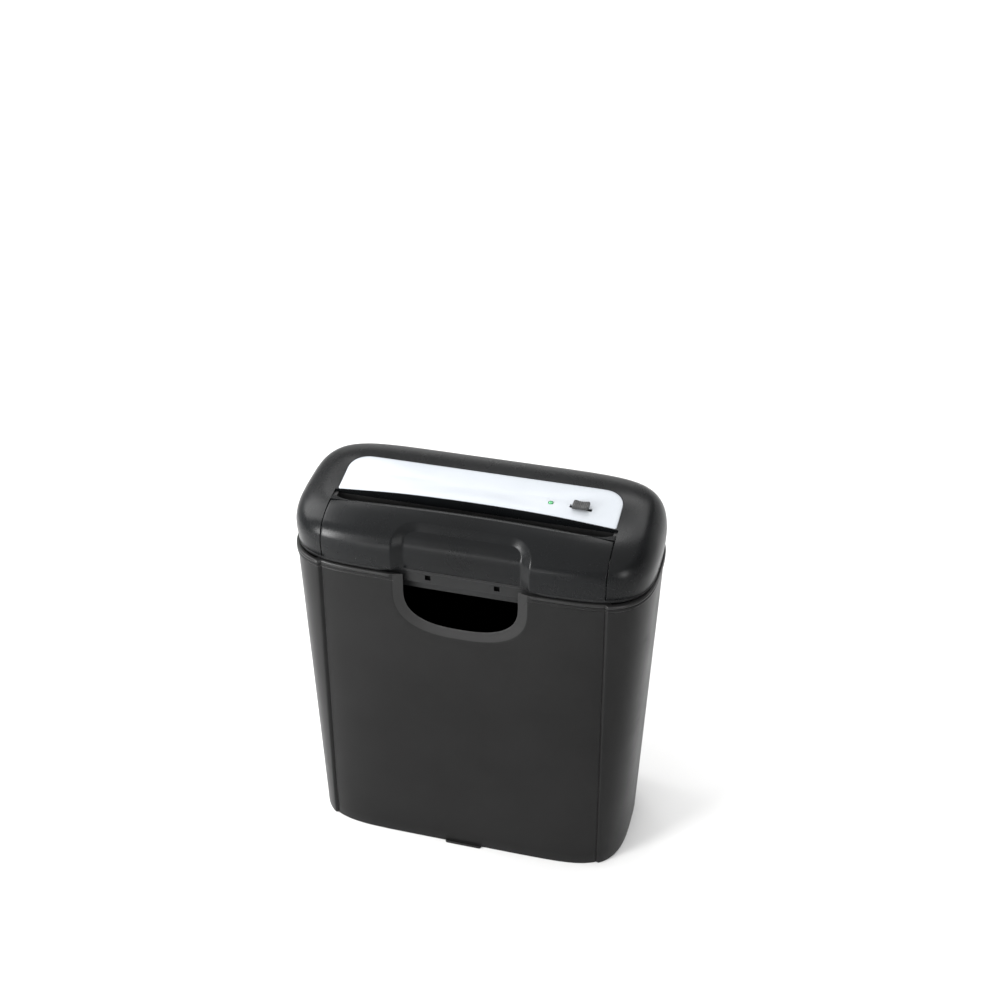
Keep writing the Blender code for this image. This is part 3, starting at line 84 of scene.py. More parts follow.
TAB_Y = 44.0
TAB_HALF_WIDTH = 6.0
TAB_TOP = 254.0
TAB_HOLE = 3.0
FOOT_X = (-15.0, 17.0)
FOOT_OUT = 2.4
# Drop below the rim and growth of each ring of the rim's bead and fine groove
RIM_RINGS = (
    (6.3, -0.25), (6.0, -0.3), (5.75, 0.0), (5.5, 0.5), (5.1, LIP_OUT), (4.0, LIP_OUT + 0.05),
    (3.4, LIP_OUT - 0.1), (3.1, 0.3), (2.9, 0.2), (2.7, 0.3), (2.4, LIP_OUT - 0.15),
    (1.8, LIP_OUT), (0.9, LIP_OUT - 0.05), (0.35, LIP_OUT - 0.35), (0.0, 0.0),
)

# Head
SEAT = BIN_HEIGHT + 0.35
HEAD_HALF_WIDTH = 147.6
HEAD_HALF_DEPTH = 63.2
HEAD_WALL = 3.0
FRONT_WALL = 2.4
SEAM_X = 115.0
SEAM_GAP = 0.6
FLANGE_TOP = 2.2
# Each ring of the head's skin: inset at the ends, front inset, front height, rear inset, rear
# height, and how far its normal leans outwards (1) or up (0)
HEAD_RINGS = np.array((
    (1.2, 1.1, 2.6, 1.1, 2.6, 1.0),
    (0.3, 0.2, 11.0, 0.2, 12.0, 1.0),
    (0.0, 0.3, 20.0, 0.0, 22.0, 0.98),
    (1.5, 3.0, 27.0, 2.0, 33.0, 0.88),
    (5.0, 8.0, 32.5, 6.0, 41.0, 0.7),
    (10.0, 15.0, 36.5, 12.0, 46.0, 0.45),
    (17.0, 22.0, 39.0, 20.0, 48.6, 0.25),
    (26.0, 29.0, 40.2, 29.0, 50.0, 0.1),
    (45.0, 38.0, 41.5, 40.0, 50.3, 0.0),
    (80.0, 50.0, 44.0, 54.0, 49.6, 0.0),
))
LAST_RING = len(HEAD_RINGS) - 1
CREST_RING = 7
CREST_CROWN = 4.0
GRIP_INNER = 47.0
GRIP_OUTER = 56.0
GRIP_DEPTH = 5.5
GRIP_TOP = 41.0
GRIP_CORNER = 15.0
GRIP_ROUNDING = 0.05
PINCH = 0.5
PINCH_REACH = 0.8
CREST_RADIUS = 1.4
SLOT_FRONT = -31.0
SLOT_REAR = -19.0
SLOT_HALF_LENGTH = 112.0
LIP_DEPTH = 7.0
LIP_BOTTOM = 38.3
INLAY_REAR = 22.0
INLAY_THICKNESS = 1.5
INLAY_POCKET = 1.8
INLAY_CORNER = 16.0
INLAY_HALF_WIDTH = 113.0
INLAY_GAP = 0.4
# Heights between which tools cut through the head's skin
THROUGH_SKIN = (SEAT + 25.0, SEAT + 70.0)

# Tub
TUB_HALF_WIDTH = 143.0
TUB_HALF_DEPTH = 60.4
TUB_DEPTH = 20.0
TUB_WALL = 2.4
FLANGE_HALF_WIDTH = 146.4
FLANGE_HALF_DEPTH = 61.9
TUB_SETBACK = 5.0
SETBACK_HALF_WIDTH = 50.0
SETBACK_OUTER = 67.0
TUB_SPLIT = 90.0
TUB_SPANS = 90
# Each ring of the tub's wall: height over the seat, inset at the ends and inset at the sides
TUB_RINGS = (
    (-TUB_DEPTH, 16.0, 7.0), (-19.6, 12.0, 5.0), (-18.6, 9.0, 3.4), (-17.0, 6.2, 2.1),
    (-15.0, 4.0, 1.2), (-12.0, 2.2, 0.6), (-9.0, 1.0, 0.2), (-6.0, 0.3, 0.05), (-3.0, 0.0, 0.0),
    (-0.3, 0.0, 0.0), (0.0, -0.4, -0.2),
)
TUB_CAVITY_RINGS = (
    (-TUB_DEPTH + TUB_WALL, 14.0, 5.4), (-15.0, 6.0, 2.2), (-9.0, 1.4, 0.4), (-3.0, 0.0, 0.0),
    (FLANGE_TOP + 5.0, 0.0, 0.0),
)
FLANGE_EDGE = 0.3
ARCH_HALF_WIDTH = 49.0
ARCH_FOOT_HALF_WIDTH = 68.0
ARCH_HEIGHT = 9.5
ARCH_REACH = 11.0
EXIT_HALF_LENGTH = 110.5
EXIT_FRONT = -42.0
EXIT_REAR = -8.0
SCREWS = ((-131.0, 22.0), (-131.0, -22.0), (124.0, -38.0), (124.0, 43.0))
SCREW_HOLE = 3.4
WINDOW_X = 28.0
WINDOW_HALF = 2.3
WINDOW_Z = (-7.2, -2.6)
WINDOW_DEPTH = 2.1
MARK_X = 76.0
MARK_HALF = 0.3
MARK_Z = (-9.5, -0.4)
MARK_DEPTH = 0.9

# Mode switch, status light and cord gland
SWITCH_X = 82.0
SWITCH_Y = -4.0
SWITCH_TRAVEL = 5.0
SLIDER_LENGTH = 13.0
SLIDER_HALF_DEPTH = 4.5
SLIDER_RISE = 4.4
SLIDER_ROUNDING = 0.9
SLIDER_EDGE = 0.8
RIDGE_HEIGHT = 0.3
RIDGE_PITCH = 1.5
LIGHT_PLACE = (58.0, SWITCH_Y)
LIGHT_RADIUS = 2.0
GLAND_X = -60.0
GLAND_Z = 11.0
GLAND_HOLE = 6.4
GLAND_BORE = 4.6
GLAND_NECK = 6.1
GLAND_FLANGE = 7.8

# Cutters: axes as (y, z)
CUTTER_Z = 8.0
FRONT_AXIS = (-36.7, SEAT + CUTTER_Z)
REAR_AXIS = (-13.3, SEAT + CUTTER_Z)
DISC_RADIUS = 13.0
DISC_THICKNESS = 5.9
DISC_PITCH = 12.4
CORE_RADIUS = 6.5
SHAFT_RADIUS = 4.0
SHAFT_END = 122.2
CORE_END = 111.2
FRONT_SHAFT_END = 116.0
SHAFT_CHAMFER = 0.4
DISC_CHAMFER = 0.25
DISC_FILLET = 0.3
DISC_GROOVE = 0.45

# Studio, in metres; the camera's angles are azimuth, elevation and roll in degrees
FLOOR_HALF = 9.0
FLOOR_FLAT = 3.0
FLOOR_RISE = 0.09
CAMERA_ANGLES = (14.84, 33.01, 0.118)
CAMERA_LENS = 55.92
CAMERA_PLACE = (0.2795, -0.9950, 0.9867)


# ---- mesh building
def link(item):
    bpy.context.scene.collection.objects.link(item)
    return item


def add_mesh(name, points, faces):
    """A mesh object from points in millimetres, with its normals outwards."""
    mesh = bpy.data.meshes.new(name)
    mesh.from_pydata([tuple(c * MM for c in point) for point in points], [], faces)
    shape = bmesh.new()
    shape.from_mesh(mesh)
    bmesh.ops.remove_doubles(shape, verts=shape.verts, dist=1e-7)
    bmesh.ops.recalc_face_normals(shape, faces=shape.faces)
    if shape.calc_volume(signed=True) < 0:
        bmesh.ops.reverse_faces(shape, faces=shape.faces)
    shape.to_mesh(mesh)
    shape.free()
    return link(bpy.data.objects.new(name, mesh))


def side_faces(rows, count, joined=False):
    """Quads between rings of count points; joined closes the last ring on to the first."""
    faces = []
    for row in range(rows if joined else rows - 1):
        low = row * count
        high = (row + 1) % rows * count
        for column in range(count):
            after = (column + 1) % count
            faces.append((low + column, low + after, high + after, high + column))
    return faces


def loft(name, rings):
    """A closed body through rings of equal length; each end is one flat face."""
    count = len(rings[0])
    points = [point for ring in rings for point in ring]
    faces = side_faces(len(rings), count)
    top = len(points) - count
    faces.append(tuple(reversed(range(count))))
    faces.append(tuple(range(top, top + count)))
    return add_mesh(name, points, faces)


def circle(centre, radius, count):
    """Counter-clockwise points of a circle about centre."""
    points = []
    for step in range(count):
        angle = 2 * math.pi * step / count
        points.append((centre[0] + radius * math.cos(angle), centre[1] + radius * math.sin(angle)))
    return points


def prism_y(name, outline, low, high):
    return loft(name, [[(x, y, z) for x, z in outline] for y in (low, high)])


def prism_z(name, outline, low, high):
    return loft(name, [[(x, y, z) for x, y in outline] for z in (low, high)])


def box(name, low, high):
    corners = ((low[0], low[1]), (high[0], low[1]), (high[0], high[1]), (low[0], high[1]))
    return prism_z(name, corners, low[2], high[2])


def apply_boolean(target, tool, operation):
    """Cuts or joins target by a tool, and removes the tool."""
    step = target.modifiers.new("step", "BOOLEAN")
    step.object = tool
    step.operation = operation
    step.solver = "EXACT"
    graph = bpy.context.evaluated_depsgraph_get()
    made = bpy.data.meshes.new_from_object(target.evaluated_get(graph))
    target.modifiers.clear()
    old = target.data
    target.data = made
    made.name = target.name
    bpy.data.meshes.remove(old)
    bpy.data.objects.remove(tool, do_unlink=True)


def cut(target, *tools):
    for tool in tools:
        apply_boolean(target, tool, "DIFFERENCE")


def join(target, tool):
    apply_boolean(target, tool, "UNION")


def round_hole(centre, radius, low, high):
    """Upright cylinder that cuts a round hole."""
    return prism_z("hole", circle(centre, radius, 32), low, high)


def finish_mesh(item, sharp_degrees):
    """Cleans a mesh and shades it smooth, except across its sharp edges."""
    shape = bmesh.new()
    shape.from_mesh(item.data)
    bmesh.ops.remove_doubles(shape, verts=shape.verts, dist=2e-6)
    bmesh.ops.dissolve_degenerate(shape, edges=shape.edges, dist=2e-6)
    shape.to_mesh(item.data)
    shape.free()
    item.data.shade_smooth()
    item.data.set_sharp_from_angle(angle=math.radians(sharp_degrees))


def place(item, body, slot, node, sharp_degrees=38.0):
    """Gives a piece its slot's finish and its body, and hides the CAD node that it stands for."""
    finish_mesh(item, sharp_degrees)
    item.data.materials.clear()
    item.data.materials.append(finishes[slot])
    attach(item, body)
    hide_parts(node)


def smooth(share):
    share = np.clip(share, 0.0, 1.0)
    return share * share * (3.0 - 2.0 * share)


def rounded_rectangle(x_low, x_high, y_low, y_high, radii, steps, spacing=None):
    """Counter-clockwise outline; radii are for (low, low), (high, low), (high, high) and
    (low, high).  spacing adds points along the straight sides."""
    corners = ((x_low, y_low), (x_high, y_low), (x_high, y_high), (x_low, y_high))
    inward = ((1, 1), (-1, 1), (-1, -1), (1, -1))
    points = []
    for index, ((x, y), (sx, sy), radius) in enumerate(zip(corners, inward, radii)):
        if radius <= 0:
            points.append((x, y))
            continue
        for step in range(steps + 1):
            angle = math.pi + index * math.pi / 2 + step * math.pi / (2 * steps)
            cx = x + sx * radius
            cy = y + sy * radius
            points.append((cx + radius * math.cos(angle), cy + radius * math.sin(angle)))
    return spaced(points, spacing) if spacing else points


def spaced(points, spacing):
    """The closed outline with points added so that no side is longer than spacing."""
    made = []
    for start, end in zip(points, points[1:] + points[:1]):
        length = math.dist(start, end)
        count = max(1, math.ceil(length / spacing))
        for step in range(count):
            share = step / count
            made.append(tuple(a + (b - a) * share for a, b in zip(start, end)))
    return made


# ---- plan outlines
def bow(x, half_width, half_depth):
    share = min(abs(x) / half_width, 1.0)
    return half_depth * (1.0 - share**PLAN_POWER_X) ** (1.0 / PLAN_POWER_Y)


def end_points(half_width, front, rear, from_x, steps):
    """Right-hand end of the plan outline, from the front at from_x round to the back."""
    edge = math.acos((from_x / half_width) ** (PLAN_POWER_X / 2))
    points = []
    for step in range(steps + 1):
        angle = -edge + 2 * edge * step / steps
        x = half_width * math.cos(angle) ** (2 / PLAN_POWER_X)
        reach = abs(math.sin(angle)) ** (2 / PLAN_POWER_Y)
        points.append((x, -front * reach if angle < 0 else rear * reach))
    return points


def plan_outline(half_width, front, rear, split, steps, spans):
    """Counter-clockwise plan outline as (x, y), starting at the front left split."""
    right = end_points(half_width, front, rear, split, steps)
    points = []
    for step in range(spans):
        x = -split + 2 * split * step / spans
        points.append((x, -bow(x, half_width, front)))
    points += right
    for step in range(1, spans):
        x = split - 2 * split * step / spans
        points.append((x, bow(x, half_width, rear)))
    points += [(-x, y) for x, y in reversed(right[1:])]
    return points


# ---- bin
def bin_sizes(z):
    share = z / BIN_HEIGHT
    return (
        BASE_HALF_WIDTH + (RIM_HALF_WIDTH - BASE_HALF_WIDTH) * share,
        BASE_HALF_DEPTH + (RIM_HALF_DEPTH - BASE_HALF_DEPTH) * share,
        SEAM_BOTTOM + (SEAM_TOP - SEAM_BOTTOM) * share,
    )


def bin_ring(z, grow, seam_shift=0.0):
    """The bin's outline at height z.  The front panel lies between two seams, with a fine
    groove and a slope up to each end."""
    half_width, half_depth, seam = bin_sizes(z)
    half_width += grow
    half_depth += grow
    seam += seam_shift
    panel_spans = 88
    panel = []
    for step in range(panel_spans + 1):
        x = -seam + 2 * seam * step / panel_spans
        panel.append((x, -bow(x, half_width, half_depth)))
    slope_start = seam + 0.5
    slope_end = slope_start + SEAM_SLOPE
    end_depth = half_depth + PANEL_RECESS
    low = -bow(slope_start, half_width, half_depth)
    high = -bow(slope_end, half_width, end_depth)
    edge = [
        (seam + 0.25, -bow(seam, half_width, half_depth) + SEAM_GROOVE),
        (slope_start, low + SEAM_GROOVE * 0.6),
    ]
    for share in (0.35, 0.7, 0.9):
        edge.append((slope_start + SEAM_SLOPE * share, low + (high - low) * share**0.9))
    back_half = slope_end + 0.5
    right = end_points(half_width, end_depth, half_depth, back_half, 56)
    points = panel + edge + right
    back_spans = 60
    for step in range(1, back_spans):
        x = back_half * (1 - 2 * step / back_spans)
        points.append((x, bow(x, half_width, half_depth)))
    points += [(-x, y) for x, y in reversed(right)]
    points += [(-x, y) for x, y in reversed(edge)]
    return [(x, y, z) for x, y in points]


def notch_outline(grow):
    """The notch as (x, z), with a bowed bottom and open above the rim."""
    half = NOTCH_HALF_WIDTH + grow
    height = NOTCH_CURVE_HEIGHT + grow
    above = BIN_HEIGHT + 12.0
    points = [(half, above), (-half, above)]
    steps = 84
    for step in range(steps + 1):
        angle = math.pi + math.pi * step / steps
        across = math.copysign(abs(math.cos(angle)) ** (2 / NOTCH_POWER), math.cos(angle))
        down = abs(math.sin(angle)) ** (2 / NOTCH_POWER)
        points.append((half * across, NOTCH_MIDDLE - height * down))
    return points


def in_notch(x, z, grow):
    """Is (x, z) inside the notch's outline grown by grow?"""
    half = NOTCH_HALF_WIDTH + grow
    height = NOTCH_CURVE_HEIGHT + grow
    if z >= NOTCH_MIDDLE:
        return abs(x) < half
    return (abs(x) / half) ** NOTCH_POWER + ((NOTCH_MIDDLE - z) / height) ** NOTCH_POWER < 1.0


def inside_bin(x, y, z):
    """Is a point of the bin's surface on its inner walls or floor?"""
    half_width, half_depth, seam = bin_sizes(z)
    if y < 0 and abs(x) > seam + 0.5 + SEAM_SLOPE:
        half_depth += PANEL_RECESS
    within = BIN_WALL / 2
    return z > BIN_FLOOR / 2 and abs(y) < bow(x, half_width - within, half_depth - within)


def bin_rings():
    """Rings up the outside, over the rim, down the inside and across the floor."""
    foot_top = 1.3
    rings = [bin_ring(0.0, -1.6), bin_ring(0.15, -0.8), bin_ring(0.6, -0.2), bin_ring(foot_top, 0.0)]
    steps = 29
    for step in range(1, steps + 1):
        rings.append(bin_ring(foot_top + (BIN_HEIGHT - 6.6 - foot_top) * step / steps, 0.0))
    rings += [bin_ring(BIN_HEIGHT - drop, grow) for drop, grow in RIM_RINGS]
    rings.append(bin_ring(BIN_HEIGHT, -BIN_WALL + 0.6, BIN_WALL))
    rings.append(bin_ring(BIN_HEIGHT - 0.2, -BIN_WALL + 0.15, BIN_WALL))
    steps = 23
    inner_top = BIN_HEIGHT - 0.7
    for step in range(steps + 1):
        z = inner_top - (inner_top - BIN_FLOOR - 6.0) * step / steps
        rings.append(bin_ring(z, -BIN_WALL, BIN_WALL))
    for rise, grow in ((3.2, 0.7), (1.4, 1.8), (0.4, 3.4), (0.0, 5.4)):
        rings.append(bin_ring(BIN_FLOOR + rise, -BIN_WALL - grow, BIN_WALL))
    return rings


def tab_solid():
    """Upright rib on the inside of the back that presses the head's safety plunger."""
    front = TAB_Y - 5.0
    side = (
        (62.4, 190.0), (62.4, TAB_TOP), (front + 0.8, TAB_TOP),
        (front + 0.2, TAB_TOP - 0.5), (front, TAB_TOP - 1.2), (front, 244.0),
    )
    ends = (TAB_X - TAB_HALF_WIDTH, TAB_X + TAB_HALF_WIDTH)
    return loft("tab", [[(x, y, z) for y, z in side] for x in ends])


def notch_cutter():
    """Cuts the notch through the wall, with a dished band sunk into the panel round it."""
    panel = -RIM_HALF_DEPTH
    bed = panel + NOTCH_BAND_DEPTH
    before = 3.0
    steps = (
        (panel - before, NOTCH_BAND + NOTCH_BAND / NOTCH_BAND_DEPTH * before),
        (panel, NOTCH_BAND),
        (panel + NOTCH_BAND_DEPTH * 0.62, NOTCH_BAND * 0.42),
        (panel + NOTCH_BAND_DEPTH * 0.95, NOTCH_BAND * 0.14),
        (bed, NOTCH_BAND * 0.06), (bed + 0.15, 0.15), (bed + 0.5, 0.0), (bed + 30.0, -0.05),
    )
    return loft("band", [[(x, y, z) for x, z in notch_outline(grow)] for y, grow in steps])


def foot_solid():
    """Foot at the front of the base."""
    front = -BASE_HALF_DEPTH - FOOT_OUT
    outline = rounded_rectangle(*FOOT_X, front, -BASE_HALF_DEPTH + 3.0, (1.8, 1.8, 0, 0), 6)
    levels = ((0.99, 0.4, 0.0), (1.0, 0.0, 0.5), (1.0, 0.0, 1.5), (0.985, 0.6, 2.2))
    return loft("foot", [[(x * share, y + back, z) for x, y in outline] for share, back, z in levels])


def build_bin():
    body = loft("bin_shell", bin_rings())
    join(body, tab_solid())
    cut(body, notch_cutter())
    join(body, foot_solid())
    place(body, "base", "bin_plastic", "bin")
    body.data.materials.append(finishes["bin_band"])
    body.data.materials.append(finishes["bin_inner"])
    bed = -RIM_HALF_DEPTH + NOTCH_BAND_DEPTH
    for face in body.data.polygons:
        x, y, z = (c / MM for c in face.center)
        outside = abs(face.normal.z) < 0.9 or z > BIN_HEIGHT - 1.0
        on_band = y < bed + 0.4 and in_notch(x, z, NOTCH_BAND + 0.05)
        on_lip = z > BIN_HEIGHT - 2.6
        # The notch's band and the rim's lip take the band finish: it is glossier, and its lighter colour
        # is a painted highlight
        if outside and (on_lip or (on_band and face.normal.y < 0.5)):
            face.material_index = 1
        # The inner walls and floor take the inner finish, whose darker colour is painted shade
        elif inside_bin(x, y, z):
            face.material_index = 2


# ---- head skin
def ring_values(t):
    """HEAD_RINGS at a fractional ring, on a smooth curve through the rings."""
    t = min(max(t, 0.0), LAST_RING)
    low = min(int(t), LAST_RING - 1)
    share = t - low
    start, end = HEAD_RINGS[low], HEAD_RINGS[low + 1]
    slope_in = (end - HEAD_RINGS[low - 1]) / 2 if low > 0 else end - start
    slope_out = (HEAD_RINGS[low + 2] - start) / 2 if low < LAST_RING - 1 else end - start
    a = 2 * share**3 - 3 * share**2 + 1
    b = share**3 - 2 * share**2 + share
    c = -2 * share**3 + 3 * share**2
    d = share**3 - share**2
    return a * start + b * slope_in + c * end + d * slope_out


def skin_height(values, t, x, turn, drop):
    _, _, front_z, _, rear_z, lean = values
    height = front_z + (rear_z - front_z) * smooth((turn + 1.0) / 2.0)
    share = min(t / CREST_RING, 1.0)
    crown = CREST_CROWN * share**3 * max(0.0, 1.0 - (x / SEAM_X) ** 2)
    return height + crown * smooth(0.5 - turn) - drop * (1.0 - lean)


def skin_sizes(values, inset):
    end, front, _, rear, _, lean = values
    move = inset * lean
    return HEAD_HALF_WIDTH - end - move, HEAD_HALF_DEPTH - front - move, HEAD_HALF_DEPTH - rear - move


def head_solid(name, inset, bottom=0.0, detail=5):
    """Everything under the head's skin, moved inwards by inset; bottom lowers its flat base."""
    rings = []
    for step in range(LAST_RING * detail + 1):
        t = step / detail
        values = ring_values(t)
        half_width, front, rear = skin_sizes(values, inset)
        split = min(90.0, half_width * 0.75)
        drop = bottom if step == 0 else 0.0
        ring = []
        for x, y in plan_outline(half_width, front, rear, split, 44, 44):
            turn = y / (front if y < 0 else rear)
            ring.append((x, y, SEAT + skin_height(values, t, x, turn, inset) - drop))
        rings.append(ring)
    last = rings[-1]
    middle = [sum(values) / len(last) for values in zip(*last)]
    for share in (0.75, 0.5, 0.25, 0.06):
        rings.append([tuple(m + (c - m) * share for c, m in zip(point, middle)) for point in last])
    return loft(name, rings)


def skin_tree():
    """A search tree of the head's skin, for pieces that are draped on it."""
    skin = head_solid("skin", 0.0)
    tree = BVHTree.FromObject(skin, bpy.context.evaluated_depsgraph_get())
    bpy.data.objects.remove(skin, do_unlink=True)
    return tree


def height_on(tree, x, y):
    """Height of the skin over (x, y), in millimetres."""
    found = tree.ray_cast(Vector((x * MM, y * MM, 1.0)), Vector((0.0, 0.0, -1.0)))
    return found[0].z / MM


def inlay_outline(grow, spacing):
    half = INLAY_HALF_WIDTH + grow
    corner = INLAY_CORNER + grow
    radii = (2.0, 2.0, corner, corner)
    front = SLOT_REAR + 0.8 - grow
    return rounded_rectangle(-half, half, front, INLAY_REAR + grow, radii, 10, spacing)


def draped_plate(name, outline, tree, below, above, edge=0.0):
    """A plate between two offsets of the head's skin; edge rounds its upper edge."""
    ys = [y for _, y in outline]
    y_mid = (min(ys) + max(ys)) / 2
    depth = max(ys) - y_mid
    reach = max(abs(x) for x, _ in outline)

    def level(inset, offset):
        ring = []
        for x, y in outline:
            x *= 1 - inset / reach
            y = y_mid + (y - y_mid) * (1 - inset / depth)
            ring.append((x, y, height_on(tree, x, y) + offset))
        return ring

    rings = [level(inset, below) for inset in (depth * 0.995, depth * 0.66, depth * 0.33, 0.0)]
    if edge:
        rings += [level(0.0, above - edge), level(edge * 0.3, above - edge * 0.3)]
        rings.append(level(edge, above))
    else:
        rings.append(level(0.0, above))
    for share in (0.12, 0.3, 0.5, 0.7, 0.85, 0.995):
        rings.append(level(depth * share + (edge if share < 0.9 else 0.0), above))
    return loft(name, rings)


def switch_window(half_depth):
    """Cuts the slot that the slider's stem runs in."""
    reach = SWITCH_TRAVEL + 4.0
    sides = (SWITCH_X - reach, SWITCH_X + reach, SWITCH_Y - half_depth, SWITCH_Y + half_depth)
    return prism_z("slot", rounded_rectangle(*sides, (0.8,) * 4, 4), *THROUGH_SKIN)


def slot_lip(tree):
    """Wall that hangs under the rear edge of the feed slot, down to the paper throat."""
    rings = []
    spans = 44
    for step in range(spans + 1):
        x = -SLOT_HALF_LENGTH + 2 * SLOT_HALF_LENGTH * step / spans
        top = height_on(tree, x, SLOT_REAR + 0.6) - INLAY_POCKET - 0.5
        low = min(SEAT + LIP_BOTTOM, top - 0.5)
        near, far = SLOT_REAR, SLOT_REAR + 1.4
        rings.append([(x, near, low), (x, far, low), (x, far, top), (x, near, top)])
    return loft("slot_lip", rings)


def build_rear_cover(tree):
    cover = head_solid("rear_cover_shell", 0.0)
    cavity = head_solid("cavity", HEAD_WALL, bottom=8.0, detail=3)
    cut(cover, cavity)
    front = box("front_cut", (-SEAM_X, -90.0, SEAT - 20.0), (SEAM_X, SLOT_REAR, SEAT + 90.0))
    pocket = draped_plate("pocket", inlay_outline(INLAY_GAP, 5.0), tree, -INLAY_POCKET, 12.0)
    gland_rim = circle((GLAND_X, SEAT + GLAND_Z), GLAND_HOLE, 40)
    gland = prism_y("gland_hole", gland_rim, 50.0, 80.0)
    light = round_hole(LIGHT_PLACE, 2.6, *THROUGH_SKIN)
    cut(cover, front, pocket, gland, switch_window(3.0), light)
    join(cover, slot_lip(tree))
    place(cover, "head", "shell_plastic", "rear_cover")


def build_inlay(tree):
    outline = inlay_outline(0.0, 4.0)
    panel = draped_plate("top_inlay", outline, tree, -INLAY_THICKNESS, 0.05, edge=0.45)
    cut(panel, switch_window(2.0), round_hole(LIGHT_PLACE, 2.3, *THROUGH_SKIN))
    place(panel, "head", "inlay_plastic", "top_panel", sharp_degrees=50.0)


# ---- front cover
def front_point(x, t, inset):
    values = ring_values(t)
    half_width, front, _ = skin_sizes(values, inset)
    y = -bow(x, half_width, front)
    z = skin_height(values, t, x, y / front, inset)
    return y, z, values[5]


def grip_depth(x, run):
    """Depth of the finger recess at x and at a distance run up the cover from its lower edge:
    a flat bevel round a rounded field that is open below."""
    across = abs(x) - (GRIP_INNER + GRIP_OUTER) / 2 + GRIP_CORNER
    up = run - (GRIP_TOP - GRIP_CORNER)
    if across <= 0 or up <= 0:
        outside = max(across, up) - GRIP_CORNER
    else:
        outside = math.hypot(across, up) - GRIP_CORNER
    share = min(max(0.5 - outside / (GRIP_OUTER - GRIP_INNER), 0.0), 1.0)
    if share < GRIP_ROUNDING:
        share = share * share / (2 * GRIP_ROUNDING)
    elif share > 1 - GRIP_ROUNDING:
        share = 1 - GRIP_ROUNDING - (1 - share) ** 2 / (2 * GRIP_ROUNDING)
    else:
        share -= GRIP_ROUNDING / 2
    return GRIP_DEPTH * share / (1 - GRIP_ROUNDING)


def cover_columns(half):
    """Places along the front cover, close together at its ends and on the grip's bevel."""
    columns = [-half, -half + 0.12, -half + 0.3, -half + 0.55, -half + 0.8]
    x = -half + 2.0
    while x < -1.0:
        columns.append(x)
        on_bevel = GRIP_INNER - 14.0 < abs(x) < GRIP_OUTER + 3.0
        x += 0.75 if on_bevel else 2.4
    columns.append(0.0)
    return columns + [-value for value in reversed(columns[:-1])]


def cover_section(x, pinch):
    """The front cover's cross-section at x as (y, z): up the outside, over the lip of the feed
    slot and down the inside."""
    outer_steps = 128
    inner_steps = 24
    outer = [front_point(x, CREST_RING * step / outer_steps, pinch) for step in range(outer_steps + 1)]
    inner = [
        front_point(x, CREST_RING * step / inner_steps, FRONT_WALL)
        for step in range(inner_steps, -1, -1)
    ]
    run = 0.0
    before = outer[0]
    section = []
    for y, z, lean in outer:
        run += math.hypot(y - before[0], z - before[1])
        before = (y, z)
        depth = grip_depth(x, run)
        section.append((y + depth * lean, z - depth * (1.0 - lean)))
    crest = section[-1][1]
    lip = SLOT_FRONT - CREST_RADIUS
    section[-1] = (lip, crest)
    for angle in (22, 45, 68, 90):
        turn = math.radians(angle)
        z = crest - CREST_RADIUS + CREST_RADIUS * math.cos(turn)
        section.append((lip + CREST_RADIUS * math.sin(turn), z))
    section.append((SLOT_FRONT, crest - LIP_DEPTH))
    section.append((SLOT_FRONT - 1.8, crest - LIP_DEPTH))
    section.append((SLOT_FRONT - 2.0, inner[0][1] - 0.6))
    before = inner[0]
    for y, z, lean in inner[1:]:
        run -= math.hypot(y - before[0], z - before[1])
        before = (y, z)
        depth = grip_depth(x, max(run, 0.0))
        section.append((y + depth * lean, z - depth * (1.0 - lean)))
    return section


def build_front_cover():
    half = SEAM_X - SEAM_GAP
    rings = []
    for x in cover_columns(half):
        close = max(0.0, PINCH_REACH - (half - abs(x)))
        section = cover_section(x, PINCH * (close / PINCH_REACH) ** 2)
        rings.append([(x, y, SEAT + z) for y, z in section])
    cover = loft("front_cover_shell", rings)
    place(cover, "head", "shell_plastic", "front_cover")


# ---- tub
def setback(x):
    share = (SETBACK_OUTER - abs(x)) / (SETBACK_OUTER - SETBACK_HALF_WIDTH)
    return TUB_SETBACK * float(smooth(share))


def tub_ring(z, half_width, half_depth):
    outline = plan_outline(half_width, half_depth, half_depth, TUB_SPLIT, 40, TUB_SPANS)
    ring = [(x, y + setback(x)) for x, y in outline[:TUB_SPANS]] + outline[TUB_SPANS:]
    return [(x, y, SEAT + z) for x, y in ring]


def tub_rings(rows, inset):
    return [
        tub_ring(z, TUB_HALF_WIDTH - end - inset, TUB_HALF_DEPTH - side - inset)
        for z, end, side in rows
    ]


def arch_outline(grow):
    top = -TUB_DEPTH + ARCH_HEIGHT + grow
    low = -TUB_DEPTH - 10.0
    side = []
    steps = 20
    for step in range(steps + 1):
        share = step / steps
        x = ARCH_FOOT_HALF_WIDTH + (ARCH_HALF_WIDTH - ARCH_FOOT_HALF_WIDTH) * share
        z = -TUB_DEPTH - 0.5 + (top + TUB_DEPTH + 0.5) * float(smooth(share))
        side.append((x + grow, SEAT + z))
    right = [(ARCH_FOOT_HALF_WIDTH + grow, SEAT + low)] + side
    return right + [(-x, z) for x, z in reversed(right)]


def flange_rings():
    """The flange that the head's covers stand on, with its edges broken."""
    edge = FLANGE_EDGE
    return [
        tub_ring(z, FLANGE_HALF_WIDTH - inset, FLANGE_HALF_DEPTH - inset)
        for z, inset in ((0.0, edge), (edge, 0.0), (FLANGE_TOP - edge, 0.0), (FLANGE_TOP, edge))
    ]


